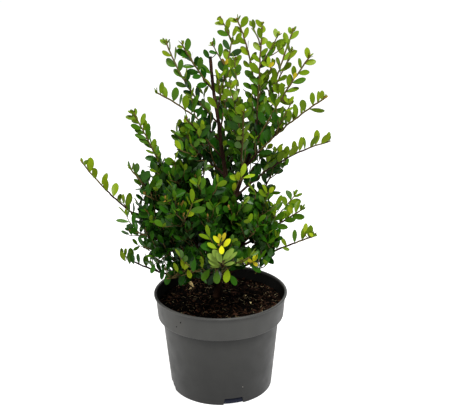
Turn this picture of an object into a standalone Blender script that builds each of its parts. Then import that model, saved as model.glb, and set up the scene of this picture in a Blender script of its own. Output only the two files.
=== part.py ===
"""Potted Japanese holly: a young small-leaved evergreen shrub in a round pot.

Blender 4.5, metres, +Z up. The origin is the centre of the pot's flat
underside, and the front of the pot faces -Y. A bearing is an angle about the
pot's axis in degrees: 0 is the front, 90 the right side (+X), 180 the back.
"""

import math
import random
from collections import namedtuple

import bmesh
import bpy
import numpy as np
from mathutils import Matrix, Vector
from mathutils.bvhtree import BVHTree

MM = 0.001
CLEARANCE = 0.3 * MM  # left between pieces that touch on the real plant

# Pot: a nursery container whose tall collar ends in a thin lip
POT_HEIGHT = 146 * MM
RIM_RADIUS = 96 * MM
LIP_HEIGHT = 3.2 * MM
COLLAR_TOP_RADIUS = 93.6 * MM
COLLAR_FOOT_RADIUS = 91 * MM
COLLAR_FOOT = 109.7 * MM  # where the collar steps in to the wall
COLLAR_ROUND = 2.3 * MM
COLLAR_STEPS = 1
WALL_TOP_RADIUS = 84.3 * MM
FOOT_RADIUS = 73.9 * MM
FOOT_ROUND = 2.4 * MM
WALL = 1.6 * MM
STEPS = 36  # facets round the pot and the soil
LIP_TURN = (190, -55)  # where the lip's arc starts and ends, in degrees from outward
LIP_STEPS = 5
FOOT_STEPS = 2

# Drain notches at the foot of the wall
NOTCH_COUNT = 4
NOTCH_BEARING = 13
NOTCH_WIDTH = 33 * MM
NOTCH_HEIGHT = 11 * MM
NOTCH_DEPTH = 12 * MM
NOTCH_TOP_SHARE = 0.78

# Soil: a slight mound, level at the stem
SOIL_TOP = 134 * MM
SOIL_EDGE = 127 * MM
SOIL_LEVEL_RADIUS = 14 * MM
SOIL_SHARES = (0, 0.45, 0.75, 1)  # from the level middle to the edge
SOIL_REACH = 82 * MM  # leaves lower than the lip stay within this radius

# Limbs
LIMB_SPACING = 18 * MM
STEM_SAMPLE = 3 * MM
TRUNK_SIDES = 8
BOUGH_SIDES = 6
TRUNK_FOOT_RADIUS = 5.2 * MM
TRUNK_TIP_RADIUS = 2.1 * MM
FLARE = 2.6 * MM
FLARE_HEIGHT = 9 * MM
FLARE_SHARE = 0.3  # of the first step, where the path has one more point
# The leader's lean: how far right and back it stands at each height
LEADER = (
    (-4, 5, (SOIL_TOP + CLEARANCE) / MM),
    (-2, 4, 165),
    (4, 1, 215),
    (9, 0, 285),
    (8, 0, 326),
    (3, 0, 365),
    (0, 0, 395),
    (-6, 0, 436),
    (-10, 0, 483),
)

Bough = namedtuple("Bough", "name foot bearing reach height bow foot_radius tip_radius")
BOUGHS = (
    Bough("bough_right", 240, 100, 52, 372, 0, 3.6, 2.1),
    Bough("bough_left", 185, -90, 46, 262, 3, 3.2, 1.9),
    Bough("bough_left_low", 163, -66, 42, 217, 2, 2.8, 1.8),
    Bough("bough_left_bottom", 148, -83, 44, 169, 3, 2.4, 1.7),
    Bough("bough_front", 154, 0, 32, 181, 2, 2.4, 1.7),
    Bough("bough_front_left", 172, -32, 40, 207, 2, 2.6, 1.7),
    Bough("bough_front_right", 180, 32, 34, 212, 2, 2.6, 1.7),
    Bough("bough_right_low", 160, 63, 38, 190, 2, 2.5, 1.7),
    Bough("bough_right_middle", 187, 99, 40, 216, 2, 2.5, 1.7),
    Bough("bough_back", 200, 175, 42, 254, 2, 2.8, 1.8),
    Bough("bough_back_left", 168, -141, 46, 210, 2, 2.6, 1.7),
    Bough("bough_back_right", 174, 140, 46, 212, 2, 2.6, 1.7),
)

# Foliage: each mass has one stem from a limb (foot is its height there) to a
# tip, twigs that the rule below adds, and side shoots of its own
Mass = namedtuple("Mass", "name limb foot bearing reach height bow swing twigs leaf shoots")
Shoot = namedtuple("Shoot", "along bearing reach height")
MASSES = (
    Mass("leaves_top_left", "trunk", 436, -57, 56, 507, -2, 0, 1, 24, ()),
    Mass("leaves_upper_left", "trunk", 392, -113, 76, 501, -9, 0, 2, 24, ()),
    Mass("leaves_left_spray", "trunk", 366, -58, 96, 447, 6, 0, 3, 26, ()),
    Mass("leaves_top", "trunk", 408, 134, 28, 503, 0, 0, 1, 23,
         (Shoot(0.97, 171, 20, 535), Shoot(0.6, -90, 8, 501))),
    Mass("leaves_top_middle", "bough_right", 364, 152, 56, 528, 0, 13, 2, 25, ()),
    Mass("leaves_top_cluster", "bough_right", 372, 116, 67, 524, 0, 0, 3, 25,
         (Shoot(0.6, 100, 84, 511), Shoot(0.8, 136, 66, 520))),
    Mass("leaves_top_right", "bough_right", 350, 123, 126, 508, 0, 0, 2, 25,
         (Shoot(0.4, 101, 103, 489),)),
    Mass("leaves_right_outer", "bough_right", 339, 90, 124, 484, 4, 0, 4, 26, ()),
    Mass("leaves_right_fore", "bough_right", 328, 70, 148, 437, 6, 0, 3, 26,
         (Shoot(0.4, 67, 105, 432),)),
    Mass("leaves_right_arm", "bough_right", 284, 104, 165, 356, 10, -6, 3, 26, ()),
    Mass("leaves_inner_right", "bough_right", 310, 26, 74, 425, 0, 0, 2, 30,
         (Shoot(0.3, 37, 37, 487), Shoot(0.6, 17, 50, 455))),
    Mass("leaves_inner_left", "trunk", 340, -33, 78, 415, 2, 0, 3, 31,
         (Shoot(0.4, -24, 80, 365),)),
    Mass("leaves_inner_back", "trunk", 318, -126, 72, 362, 2, 0, 3, 31, ()),
    Mass("leaves_left_high", "bough_left", 262, -90, 116, 412, 0, 0, 3, 26, ()),
    Mass("leaves_left_far", "bough_left_low", 217, -80, 188, 352, -13, 0, 2, 26, ()),
    Mass("leaves_left_middle", "bough_left", 250, -62, 132, 349, -6, 0, 4, 31, ()),
    Mass("leaves_left_crown", "bough_left", 236, -57, 72, 350, 0, 0, 4, 33,
         (Shoot(0.15, -60, 116, 312), Shoot(0.5, -27, 67, 336))),
    Mass("leaves_left_front", "bough_front_left", 207, -36, 117, 317, 2, 0, 5, 34,
         (Shoot(0.4, -23, 119, 300),)),
    Mass("leaves_left_fore", "bough_left_low", 198, -65, 136, 262, 2, 0, 5, 32,
         (Shoot(0.3, -52, 112, 230),)),
    Mass("leaves_left_bottom", "bough_left_bottom", 169, -85, 142, 211, -8, 0, 2, 25, ()),
    Mass("leaves_left_rim", "bough_left_bottom", 163, -45, 104, 196, 4, 0, 4, 30, ()),
    Mass("leaves_left_bottom_back", "bough_left_bottom", 157, -114, 124, 200, 2, 0, 3, 28, ()),
    Mass("leaves_front", "bough_front", 181, 0, 128, 268, -10, 0, 5, 30,
         (Shoot(0.3, -24, 102, 216),)),
    Mass("leaves_front_high", "bough_front_left", 192, -8, 108, 297, 0, 0, 5, 33, ()),
    Mass("leaves_front_right", "bough_front_right", 212, 25, 110, 275, 0, 0, 5, 33,
         (Shoot(0.2, 49, 91, 318),)),
    Mass("leaves_right_low", "bough_right_low", 190, 68, 139, 247, -3, 0, 3, 28,
         (Shoot(0.2, 30, 94, 205), Shoot(0.25, 47, 98, 240))),
    Mass("leaves_right_middle", "bough_right_middle", 216, 90, 118, 274, 0, 0, 4, 28,
         (Shoot(0.3, 114, 122, 275),)),
    Mass("leaves_right_inner", "bough_right_middle", 204, 104, 72, 304, 0, 0, 3, 31, ()),
    Mass("leaves_back_top", "trunk", 380, 160, 62, 462, 0, 0, 3, 30, ()),
    Mass("leaves_back_upper", "bough_back", 254, 168, 112, 400, 0, 0, 5, 32, ()),
    Mass("leaves_back_middle", "bough_back", 240, -150, 116, 352, 0, 0, 5, 33, ()),
    Mass("leaves_back_low", "bough_back", 226, 178, 132, 262, 0, 0, 5, 33, ()),
    Mass("leaves_back_left", "bough_back_left", 210, -132, 136, 308, 0, 0, 5, 33,
         (Shoot(0.2, -150, 130, 222),)),
    Mass("leaves_back_right", "bough_back_right", 212, 136, 132, 322, 0, 0, 5, 33,
         (Shoot(0.2, 150, 132, 226),)),
    Mass("leaves_back_right_upper", "bough_right", 296, 140, 96, 400, 0, 0, 4, 31, ()),
)

# The rule for twigs and leaves
STEM_FOOT_RADIUS = 1.9 * MM
STEM_TIP_RADIUS = 1.1 * MM
TWIG_FOOT_RADIUS = 1.15 * MM
TWIG_TIP_RADIUS = 1.0 * MM
STEM_SPACING = 40 * MM
SPREAD_TURN = math.radians(120)
SPREAD_TRIES = 3
FLAT_SHOOT = 0.75  # a shoot that rises less bears its leaves on its upper sides
TWIG_ANGLE = math.radians(44)
TWIG_ANGLE_RISE = 0.2  # how far a twig turns up from its angle, as a share of its length
TWIG_LENGTH = 36 * MM
TWIG_SHARE = 0.5  # of its stem's length, where that is shorter
TWIG_LENGTH_SPREAD = (0.8, 1.15)
TWIG_BARE = 0.3  # the share of a twig with no leaves, at its foot
STEM_BARE = 0.12
TWIGS_END = 0.9  # the share of a stem where its twigs end
LEAF_ANGLE = math.radians(47)
LEAF_ANGLE_SPREAD = (0.85, 1.2)
LEAF_PITCH = 0.385  # distance between leaves as a share of a leaf's length
LEAF_START = 0.3  # the first leaf's place in its step
LEAF_WIDTH = 0.64  # this and the next two are shares of a leaf's length
LEAF_THICKNESS = 0.06
LEAF_WIDEST = 0.62
LEAF_SUNK = 0.45  # a root's depth past its shoot's axis as a share of the shoot's radius
LEAF_UPRIGHT = 0.2  # a leaf nearer than this to its shoot's direction faces the sky instead
TIP_SUNK = 1 * MM
ROOM = 0.6 * MM  # left between a piece and those of other masses
STRAY = 7 * MM  # how far a leaf may reach past the middle between two stems
RIM_ROOM = 2.5 * MM
SOIL_ROOM = 3 * MM

BARK = (0.085, 0.05, 0.035)
GREEN = (0.07, 0.16, 0.02)


def material(name, colour, roughness, metallic=0.0):
    shader = bpy.data.materials.new(name)
    shader.use_nodes = True
    surface = shader.node_tree.nodes["Principled BSDF"]
    surface.inputs["Base Color"].default_value = (*colour, 1.0)
    surface.inputs["Roughness"].default_value = roughness
    surface.inputs["Metallic"].default_value = metallic
    shader.diffuse_color = (*colour, 1.0)
    return shader


def add_object(name, data, collection):
    thing = bpy.data.objects.new(name, data)
    collection.objects.link(thing)
    return thing


def place(bearing, reach, height):
    """The point in metres at a bearing in degrees, a reach and a height in mm."""
    turn = math.radians(bearing)
    return Vector((reach * math.sin(turn), -reach * math.cos(turn), height)) * MM


def arc(centre, radii, start, end, steps):
    """Profile points on an ellipse's arc, angles in degrees from outward."""
    points = []
    for step in range(steps + 1):
        turn = math.radians(start + (end - start) * step / steps)
        across = centre[0] + radii[0] * math.cos(turn)
        points.append((across, centre[1] + radii[1] * math.sin(turn)))
    return points


def turned(name, profile, collection):
    """A solid turned about Z from a profile that ends on the axis."""
    mesh = bpy.data.meshes.new(name)
    edges = [(i, i + 1) for i in range(len(profile) - 1)]
    mesh.from_pydata([(radius, 0, height) for radius, height in profile], edges, [])
    thing = add_object(name, mesh, collection)
    screw = thing.modifiers.new("turn", "SCREW")
    screw.steps = STEPS
    screw.render_steps = STEPS
    screw.use_merge_vertices = True
    screw.merge_threshold = 0.01 * MM
    screw.use_normal_calculate = True
    return thing


def side_profile(inset):
    """The pot's side from the edge of the foot up to the lip, moved inward by inset."""
    slope = (WALL_TOP_RADIUS - FOOT_RADIUS) / COLLAR_FOOT
    foot_centre = (FOOT_RADIUS - FOOT_ROUND * (1 - slope), FOOT_ROUND)
    foot_round = FOOT_ROUND - inset
    collar_centre = (COLLAR_FOOT_RADIUS - COLLAR_ROUND, COLLAR_FOOT + COLLAR_ROUND)
    collar_round = COLLAR_ROUND - inset
    return (
        arc(foot_centre, (foot_round, foot_round), -90, 0, FOOT_STEPS)
        + [(WALL_TOP_RADIUS - inset, COLLAR_FOOT + inset)]
        + arc(collar_centre, (collar_round, collar_round), -90, 0, COLLAR_STEPS)
        + [(COLLAR_TOP_RADIUS - inset, POT_HEIGHT - LIP_HEIGHT)]
    )


def build_pot(parts, cutters):
    """The pot: a closed shell with a rounded lip and notches at its foot."""
    lip_width = (RIM_RADIUS - COLLAR_TOP_RADIUS + WALL) / 2
    lip_centre = (RIM_RADIUS - lip_width, POT_HEIGHT - LIP_HEIGHT / 2)
    lip = arc(lip_centre, (lip_width, LIP_HEIGHT / 2), *LIP_TURN, LIP_STEPS)
    profile = [(0, WALL)] + side_profile(WALL) + lip + side_profile(0)[::-1] + [(0, 0)]
    pot = turned("pot", profile, parts)
    pot.data.materials.append(material("grey_plastic", (0.085, 0.08, 0.075), 0.42))

    notches = bpy.data.collections.new("notches")
    cutters.children.link(notches)
    for step in range(NOTCH_COUNT):
        bearing = NOTCH_BEARING + step * 360 / NOTCH_COUNT
        mesh = bpy.data.meshes.new("notch")
        shape = bmesh.new()
        bmesh.ops.create_cube(shape, size=1.0)
        for corner in shape.verts:
            if corner.co.z > 0:
                corner.co.x *= NOTCH_TOP_SHARE
        shape.transform(Matrix.Diagonal((NOTCH_WIDTH, 2 * NOTCH_DEPTH, 2 * NOTCH_HEIGHT, 1)))
        shape.to_mesh(mesh)
        shape.free()
        notch = add_object(f"notch_{step}", mesh, notches)
        notch.location = place(bearing, FOOT_RADIUS / MM, 0)
        notch.rotation_euler.z = math.radians(bearing)
        notch.hide_render = True
        notch.display_type = "WIRE"
    cut = pot.modifiers.new("notches", "BOOLEAN")
    cut.operand_type = "COLLECTION"
    cut.collection = notches
    cut.operation = "DIFFERENCE"
    return pot


def build_soil(parts):
    """The growing medium: it fills the pot to below the lip, in a slight mound."""
    inset = WALL + CLEARANCE
    side = side_profile(inset)
    below = [point for point in side if point[1] < SOIL_EDGE]
    share = (SOIL_EDGE - below[-1][1]) / (side[-1][1] - below[-1][1])
    edge_radius = below[-1][0] + share * (side[-1][0] - below[-1][0])
    mound = [(0, SOIL_TOP)]
    for share in SOIL_SHARES:
        radius = SOIL_LEVEL_RADIUS + share * (edge_radius - SOIL_LEVEL_RADIUS)
        mound.append((radius, SOIL_TOP + share * share * (SOIL_EDGE - SOIL_TOP)))
    soil = turned("soil", mound + below[::-1] + [(0, inset)], parts)
    soil.data.materials.append(material("potting_mix", (0.018, 0.011, 0.007), 0.95))
    return soil


def smooth_path(points, spacing):
    """Points along a smooth curve through the given ones, about spacing apart."""
    ends = [2 * points[0] - points[1]] + list(points) + [2 * points[-1] - points[-2]]
    path = []
    for before, start, end, after in zip(ends, ends[1:], ends[2:], ends[3:]):
        steps = max(1, round((end - start).length / spacing))
        for step in range(steps):
            t = step / steps
            path.append(
                0.5
                * (
                    2 * start
                    + (end - before) * t
                    + (2 * before - 5 * start + 4 * end - after) * t * t
                    + (3 * start - before - 3 * end + after) * t**3
                )
            )
    path.append(points[-1].copy())
    return path


def bowed_path(start, tip, bow, swing, spacing):
    """A curve from start to tip whose middle is raised by bow and moved right by swing."""
    run = tip - start
    across = run.cross(Vector((0, 0, 1))).normalized()
    up = across.cross(run).normalized()
    middle = start.lerp(tip, 0.5) + up * bow * MM + across * swing * MM
    control = 2 * middle - start.lerp(tip, 0.5)
    steps = max(2, round(run.length / spacing))
    path = []
    for step in range(steps + 1):
        t = step / steps
        path.append((1 - t) ** 2 * start + 2 * t * (1 - t) * control + t * t * tip)
    return path


def lengths(path):
    """How far along the path each of its points is."""
    total = [0.0]
    for start, end in zip(path, path[1:]):
        total.append(total[-1] + (end - start).length)
    return total


def at_share(path, share):
    """The point and the direction at a share of the path's length."""
    total = lengths(path)
    goal = share * total[-1]
    for index in range(len(path) - 1):
        if goal <= total[index + 1] or index == len(path) - 2:
            run = path[index + 1] - path[index]
            part = (goal - total[index]) / run.length
            return path[index] + run * part, run.normalized()


def at_height(path, height):
    """The point where a rising path reaches a height."""
    for start, end in zip(path, path[1:]):
        if start.z <= height <= end.z:
            return start.lerp(end, (height - start.z) / (end.z - start.z))
    return path[-1].copy()


def sampled(path, spacing):
    """Points along a path at an even spacing."""
    count = max(2, round(lengths(path)[-1] / spacing))
    return [at_share(path, step / count)[0] for step in range(count + 1)]


def swept(name, path, radii, sides, collection):
    """A round or three-sided limb along a path, as a mesh object with closed ends."""
    curve = bpy.data.curves.new(name, "CURVE")
    curve.dimensions = "3D"
    curve.resolution_u = 1
    curve.use_fill_caps = True
    if sides == 3:
        curve.bevel_mode = "OBJECT"
        curve.bevel_object = bpy.data.objects["three_sided"]
    else:
        curve.bevel_depth = 1.0
        curve.bevel_resolution = (sides - 4) // 2
    spline = curve.splines.new("POLY")
    spline.points.add(len(path) - 1)
    for point, centre, radius in zip(spline.points, path, radii):
        point.co = (*centre, 1.0)
        point.radius = radius
    route = add_object(name + "_route", curve, collection)
    bpy.context.view_layer.update()
    evaluated = route.evaluated_get(bpy.context.evaluated_depsgraph_get())
    mesh = bpy.data.meshes.new_from_object(evaluated)
    bpy.data.objects.remove(route)
    bpy.data.curves.remove(curve)
    shape = bmesh.new()
    shape.from_mesh(mesh)
    bmesh.ops.remove_doubles(shape, verts=shape.verts, dist=0.001 * MM)
    bmesh.ops.recalc_face_normals(shape, faces=shape.faces)
    shape.to_mesh(mesh)
    shape.free()
    mesh.materials.clear()
    return add_object(name, mesh, collection)


def add_section(cutters):
    """The outline of a three-sided twig, one metre in radius."""
    curve = bpy.data.curves.new("three_sided", "CURVE")
    curve.dimensions = "2D"
    spline = curve.splines.new("POLY")
    spline.points.add(2)
    for step, point in enumerate(spline.points):
        turn = math.radians(120 * step)
        point.co = (math.cos(turn), math.sin(turn), 0, 1)
    spline.use_cyclic_u = True
    section = add_object("three_sided", curve, cutters)
    section.hide_render = True
    section.display_type = "WIRE"


def tapers(path, foot_radius, tip_radius):
    total = lengths(path)
    return [foot_radius + (tip_radius - foot_radius) * far / total[-1] for far in total]


def applied(thing):
    """Applies an object's modifiers to its mesh."""
    bpy.context.view_layer.update()
    evaluated = thing.evaluated_get(bpy.context.evaluated_depsgraph_get())
    thing.data = bpy.data.meshes.new_from_object(evaluated)
    thing.modifiers.clear()


def clear_of(name, path, radii, sides, cutters):
    """A cutter: the limb made larger all round by the clearance."""
    end = path[-1] + (path[-1] - path[-2]).normalized() * CLEARANCE
    longer = path[:-1] + [end]
    cutter = swept(name + "_clear", longer, [radius + CLEARANCE for radius in radii], sides, cutters)
    cutter.hide_render = True
    cutter.display_type = "WIRE"
    return cutter


def build_limbs(parts, cutters):
    """The trunk with its root flare, and boughs cut 0.3 mm clear of it."""
    limbs = {}
    path = smooth_path([Vector(point) * MM for point in LEADER], LIMB_SPACING)
    path.insert(1, path[0].lerp(path[1], FLARE_SHARE))
    path[0] = Vector((path[1].x, path[1].y, path[0].z))  # so that the foot's cut is level
    radii = tapers(path, TRUNK_FOOT_RADIUS, TRUNK_TIP_RADIUS)
    for index, point in enumerate(path):
        radii[index] += FLARE * math.exp(-(point.z - path[0].z) / FLARE_HEIGHT)
    trunk = swept("trunk", path, radii, TRUNK_SIDES, parts)
    trunk.data.materials.append(material("trunk_bark", BARK, 0.8))
    limbs["trunk"] = (path, radii, clear_of("trunk", path, radii, TRUNK_SIDES, cutters))
    for bough in BOUGHS:
        start = at_height(limbs["trunk"][0], bough.foot * MM)
        tip = place(bough.bearing, bough.reach, bough.height)
        path = bowed_path(start, tip, bough.bow, 0, LIMB_SPACING)
        radii = tapers(path, bough.foot_radius * MM, bough.tip_radius * MM)
        limb = swept(bough.name, path, radii, BOUGH_SIDES, parts)
        cut = limb.modifiers.new("clear of the trunk", "BOOLEAN")
        cut.operation = "DIFFERENCE"
        cut.object = limbs["trunk"][2]
        applied(limb)
        limb.data.materials.clear()
        limb.data.materials.append(material(bough.name + "_bark", BARK, 0.8))
        cutter = clear_of(bough.name, path, radii, BOUGH_SIDES, cutters)
        limbs[bough.name] = (path, radii, cutter)
    return limbs


class Room:
    """Says whether a piece has room: near its own stem and clear of what is laid."""

    def __init__(self, limbs, stems):
        self.points = []
        self.owners = []
        self.laid = []
        for owner, paths in enumerate(stems):
            for path in paths:
                points = sampled(path, STEM_SAMPLE)
                self.points += points
                self.owners += [owner] * len(points)
        self.points = np.array(self.points)
        self.owners = np.array(self.owners)
        for _, _, cutter in limbs.values():
            self.lay(surface_of(cutter), cutter)

    def lay(self, surface, thing):
        """Remembers a piece's surface and its box."""
        corners = np.array([thing.matrix_world @ corner.co for corner in thing.data.vertices])
        self.laid.append((surface, corners.min(axis=0), corners.max(axis=0)))

    def own(self, places, owner):
        """True where every place is near the owner's stems, out of the pot and soil."""
        places = np.array(places)
        far = np.linalg.norm(places[:, None] - self.points[None], axis=2)
        mine = far[:, self.owners == owner].min(axis=1)
        other = far[:, self.owners != owner].min(axis=1)
        radius = np.hypot(places[:, 0], places[:, 1])
        over_pot = (places[:, 2] < POT_HEIGHT + RIM_ROOM) & (radius > SOIL_REACH)
        in_soil = places[:, 2] < SOIL_TOP + SOIL_ROOM
        return not np.any((mine > other + STRAY) | over_pot | in_soil)

    def clear(self, surface, places, own_shoot):
        """True where a surface through these places crosses nothing that is laid."""
        places = np.array(places)
        low = places.min(axis=0) - ROOM
        high = places.max(axis=0) + ROOM
        for other, other_low, other_high in self.laid:
            near = np.all(low < other_high) and np.all(high > other_low)
            if other is not own_shoot and near and surface.overlap(other):
                return False
        return True


def frame_along(origin, direction, upward):
    """A matrix at origin with X along direction and Z as near upward as it can be."""
    forward = direction.normalized()
    side = upward.cross(forward).normalized()
    top = forward.cross(side)
    turn = Matrix((forward, side, top)).transposed().to_4x4()
    return Matrix.Translation(origin) @ turn


def leaf_mesh(length, room):
    """An eight-faced leaf along X from its root at the origin, made larger by room."""
    shape = bmesh.new()
    bmesh.ops.create_uvsphere(shape, u_segments=4, v_segments=2, radius=1.0)
    for corner in shape.verts:
        along = (corner.co.x + 1) / 2
        if abs(corner.co.x) < 0.5:
            along = LEAF_WIDEST
        half_width = corner.co.y * LEAF_WIDTH / 2
        half_thickness = corner.co.z * LEAF_THICKNESS / 2
        corner.co = Vector((along, half_width, half_thickness)) * length
        if corner.co.x > 0:
            corner.co += Vector([math.copysign(room, x) if abs(x) > room else 0 for x in corner.co])
    mesh = bpy.data.meshes.new("leaf")
    shape.to_mesh(mesh)
    shape.free()
    return mesh


class Grower:
    """Grows one mass: its pieces are laid out by the rule and kept if there is room."""

    def __init__(self, owner, mass, room, collection):
        self.owner = owner
        self.room = room
        self.collection = collection
        self.chance = random.Random(100 + owner)
        self.leaf_length = mass.leaf * MM
        self.leaf = leaf_mesh(self.leaf_length, 0)
        self.leaf_with_room = leaf_mesh(self.leaf_length, ROOM)
        self.turn = self.chance.uniform(0, math.tau)

    def outward(self, shoot, point, direction, angle):
        """The next direction of the spiral, out of the middle of one of a shoot's three sides."""
        self.turn += SPREAD_TURN
        side = direction.orthogonal().normalized()
        radial = Matrix.Rotation(self.turn, 3, direction) @ side
        normal = shoot.ray_cast(point / MM, radial)[1]
        if normal is not None:
            radial = (normal - direction * normal.dot(direction)).normalized()
        if abs(direction.z) < FLAT_SHOOT and radial.z < 0:
            radial.negate()
        return direction * math.cos(angle) + radial * math.sin(angle)

    def add_leaf(self, shoot, point, direction, shoot_direction, radius):
        """One leaf, if there is room for it."""
        root = point - direction * LEAF_SUNK * radius
        upward = shoot_direction - direction * shoot_direction.dot(direction)
        if upward.length < LEAF_UPRIGHT:
            upward = Vector((0, 0, 1)) - direction * direction.z
        frame = frame_along(root, direction, upward)
        corners = [frame @ corner.co for corner in self.leaf_with_room.vertices]
        faces = [face.vertices for face in self.leaf_with_room.polygons]
        surface = BVHTree.FromPolygons([corner / MM for corner in corners], faces)
        has_room = self.room.own(corners, self.owner) and self.room.clear(surface, corners, shoot)
        if has_room:
            leaf = add_object("leaf", self.leaf, self.collection)
            leaf.matrix_world = frame
            self.room.lay(surface_of(leaf), leaf)
        return has_room

    def add_tip_leaf(self, shoot, path):
        point, direction = at_share(path, 1)
        self.add_leaf(shoot, point - direction * TIP_SUNK, direction, Vector((0, 0, 1)), 0)

    def add_leaves(self, shoot, path, foot_radius, tip_radius, bare):
        """Leaves in a spiral along a shoot."""
        pitch = LEAF_PITCH * self.leaf_length
        count = int((1 - bare) * lengths(path)[-1] / pitch)
        for step in range(count):
            share = bare + (1 - bare) * (step + LEAF_START) / count
            point, direction = at_share(path, share)
            radius = foot_radius + share * (tip_radius - foot_radius)
            for _ in range(SPREAD_TRIES):
                angle = LEAF_ANGLE * self.chance.uniform(*LEAF_ANGLE_SPREAD)
                away = self.outward(shoot, point, direction, angle)
                if self.add_leaf(shoot, point, away, direction, radius):
                    break

    def add_twigs(self, shoot, path, count):
        """Short side twigs in a spiral up the stem, each with its own leaves."""
        length = min(TWIG_LENGTH, lengths(path)[-1] * TWIG_SHARE)
        for step in range(count):
            share = STEM_BARE + (TWIGS_END - STEM_BARE) * (step + 0.5) / count
            start, direction = at_share(path, share)
            for _ in range(SPREAD_TRIES):
                away = self.outward(shoot, start, direction, TWIG_ANGLE)
                away += Vector((0, 0, TWIG_ANGLE_RISE))
                reach = length * self.chance.uniform(*TWIG_LENGTH_SPREAD)
                tip = start + away.normalized() * reach
                if self.add_twig(shoot, [start, tip]):
                    break

    def add_twig(self, shoot, path):
        """One twig with its leaves, if there is room for the twig."""
        radii = (TWIG_FOOT_RADIUS, TWIG_TIP_RADIUS)
        twig = swept("twig", path, radii, 3, self.collection)
        surface = surface_of(twig)
        has_room = self.room.own([path[1]], self.owner) and self.room.clear(surface, path, shoot)
        if not has_room:
            bpy.data.objects.remove(twig)
            return False
        self.room.lay(surface, twig)
        self.add_tip_leaf(surface, path)
        self.add_leaves(surface, path, *radii, TWIG_BARE)
        return True


def surface_of(thing):
    """A tree of an object's faces in millimetres, for finding where things cross it."""
    corners = [thing.matrix_world @ corner.co / MM for corner in thing.data.vertices]
    return BVHTree.FromPolygons(corners, [face.vertices for face in thing.data.polygons])


def short_of_tip(path, leaf):
    """The path ended where its last leaf begins, so that the leaf's tip is at the path's."""
    keep = 1 - (leaf * MM - TIP_SUNK) / lengths(path)[-1]
    count = len(path) - 1
    return [at_share(path, keep * step / count)[0] for step in range(count + 1)]


def mass_paths(mass, limbs):
    """The paths of a mass's stem and of its own side shoots."""
    start = at_height(limbs[mass.limb][0], mass.foot * MM)
    tip = place(mass.bearing, mass.reach, mass.height)
    whole = bowed_path(start, tip, mass.bow, mass.swing, STEM_SPACING)
    paths = [short_of_tip(whole, mass.leaf)]
    for shoot in mass.shoots:
        start = at_share(paths[0], shoot.along)[0]
        tip = place(shoot.bearing, shoot.reach, shoot.height)
        paths.append(short_of_tip(bowed_path(start, tip, 0, 0, STEM_SPACING), mass.leaf))
    return paths


def largest_body(mesh):
    """Keeps a mesh's largest closed body: sealed hollows and loose scraps go."""
    shape = bmesh.new()
    shape.from_mesh(mesh)
    unseen = set(shape.faces)
    bodies = []
    while unseen:
        queue = [unseen.pop()]
        body = list(queue)
        while queue:
            for edge in queue.pop().edges:
                for other in edge.link_faces:
                    if other in unseen:
                        unseen.discard(other)
                        body.append(other)
                        queue.append(other)
        bodies.append(body)
    kept = max(bodies, key=len)
    scrap = [face for body in bodies if body is not kept for face in body]
    bmesh.ops.delete(shape, geom=scrap, context="FACES")
    shape.to_mesh(mesh)
    shape.free()


def lay_stems(stems, room, parts):
    """The stems and side shoots of all masses, laid before any twig or leaf."""
    laid = []
    for mass, paths in zip(MASSES, stems):
        pieces = bpy.data.collections.new(mass.name + "_pieces")
        bpy.context.scene.collection.children.link(pieces)
        shoots = []
        for path in paths:
            is_stem = path is paths[0]
            foot_radius = STEM_FOOT_RADIUS if is_stem else TWIG_FOOT_RADIUS
            tip_radius = STEM_TIP_RADIUS if is_stem else TWIG_TIP_RADIUS
            home = parts if is_stem else pieces
            piece = swept(mass.name, path, tapers(path, foot_radius, tip_radius), 3, home)
            surface = surface_of(piece)
            room.lay(surface, piece)
            shoots.append((surface, path, foot_radius, tip_radius))
        laid.append((mass, pieces, shoots))
    return laid


def build_mass(owner, mass, pieces, shoots, room, limbs):
    """One mass: stem, shoots, twigs and leaves joined, and cut clear of its limb."""
    grower = Grower(owner, mass, room, pieces)
    for surface, path, _, _ in shoots:
        grower.add_tip_leaf(surface, path)
    grower.add_twigs(shoots[0][0], shoots[0][1], mass.twigs)
    for surface, path, foot_radius, tip_radius in shoots:
        grower.add_leaves(surface, path, foot_radius, tip_radius, STEM_BARE)
    stem = bpy.data.objects[mass.name]
    join = stem.modifiers.new("join", "BOOLEAN")
    join.operation = "UNION"
    join.operand_type = "COLLECTION"
    join.collection = pieces
    join.solver = "MANIFOLD"
    cut = stem.modifiers.new("clear of the limb", "BOOLEAN")
    cut.operation = "DIFFERENCE"
    cut.object = limbs[mass.limb][2]
    cut.solver = "MANIFOLD"
    applied(stem)
    for piece in list(pieces.objects):
        bpy.data.objects.remove(piece)
    bpy.data.collections.remove(pieces)
    largest_body(stem.data)
    stem.data.materials.clear()
    stem.data.materials.append(material(mass.name + "_green", GREEN, 0.45))


def main():
    for thing in list(bpy.data.objects):
        bpy.data.objects.remove(thing)
    scene = bpy.context.scene
    parts = bpy.data.collections.new("potted_japanese_holly")
    cutters = bpy.data.collections.new("cutters")
    scene.collection.children.link(parts)
    scene.collection.children.link(cutters)
    add_section(cutters)
    limbs = build_limbs(parts, cutters)
    stems = [mass_paths(mass, limbs) for mass in MASSES]
    room = Room(limbs, stems)
    for owner, (mass, pieces, shoots) in enumerate(lay_stems(stems, room, parts)):
        build_mass(owner, mass, pieces, shoots, room, limbs)
    for used in list(cutters.objects):
        bpy.data.objects.remove(used)
    build_pot(parts, cutters)
    build_soil(parts)


main()
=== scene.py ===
"""Looks of the potted Japanese holly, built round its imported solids.

Metres, +Z up, in the solids' own frame: the origin is the centre of the pot's
flat underside, and the front of the pot faces -Y. A bearing is an angle about
the pot's axis in degrees: 0 is the front, 90 the right side (+X), 180 the back.
The trunk, boughs, stems and shoots follow the solids' own tables. Finer twigs
and life-size leaves grow on them by the same spiral rule.
"""

import itertools
import math
import random
from collections import namedtuple

import bmesh
import bpy
import numpy as np
from mathutils import Matrix, Vector, noise
from mathutils.kdtree import KDTree


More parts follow.
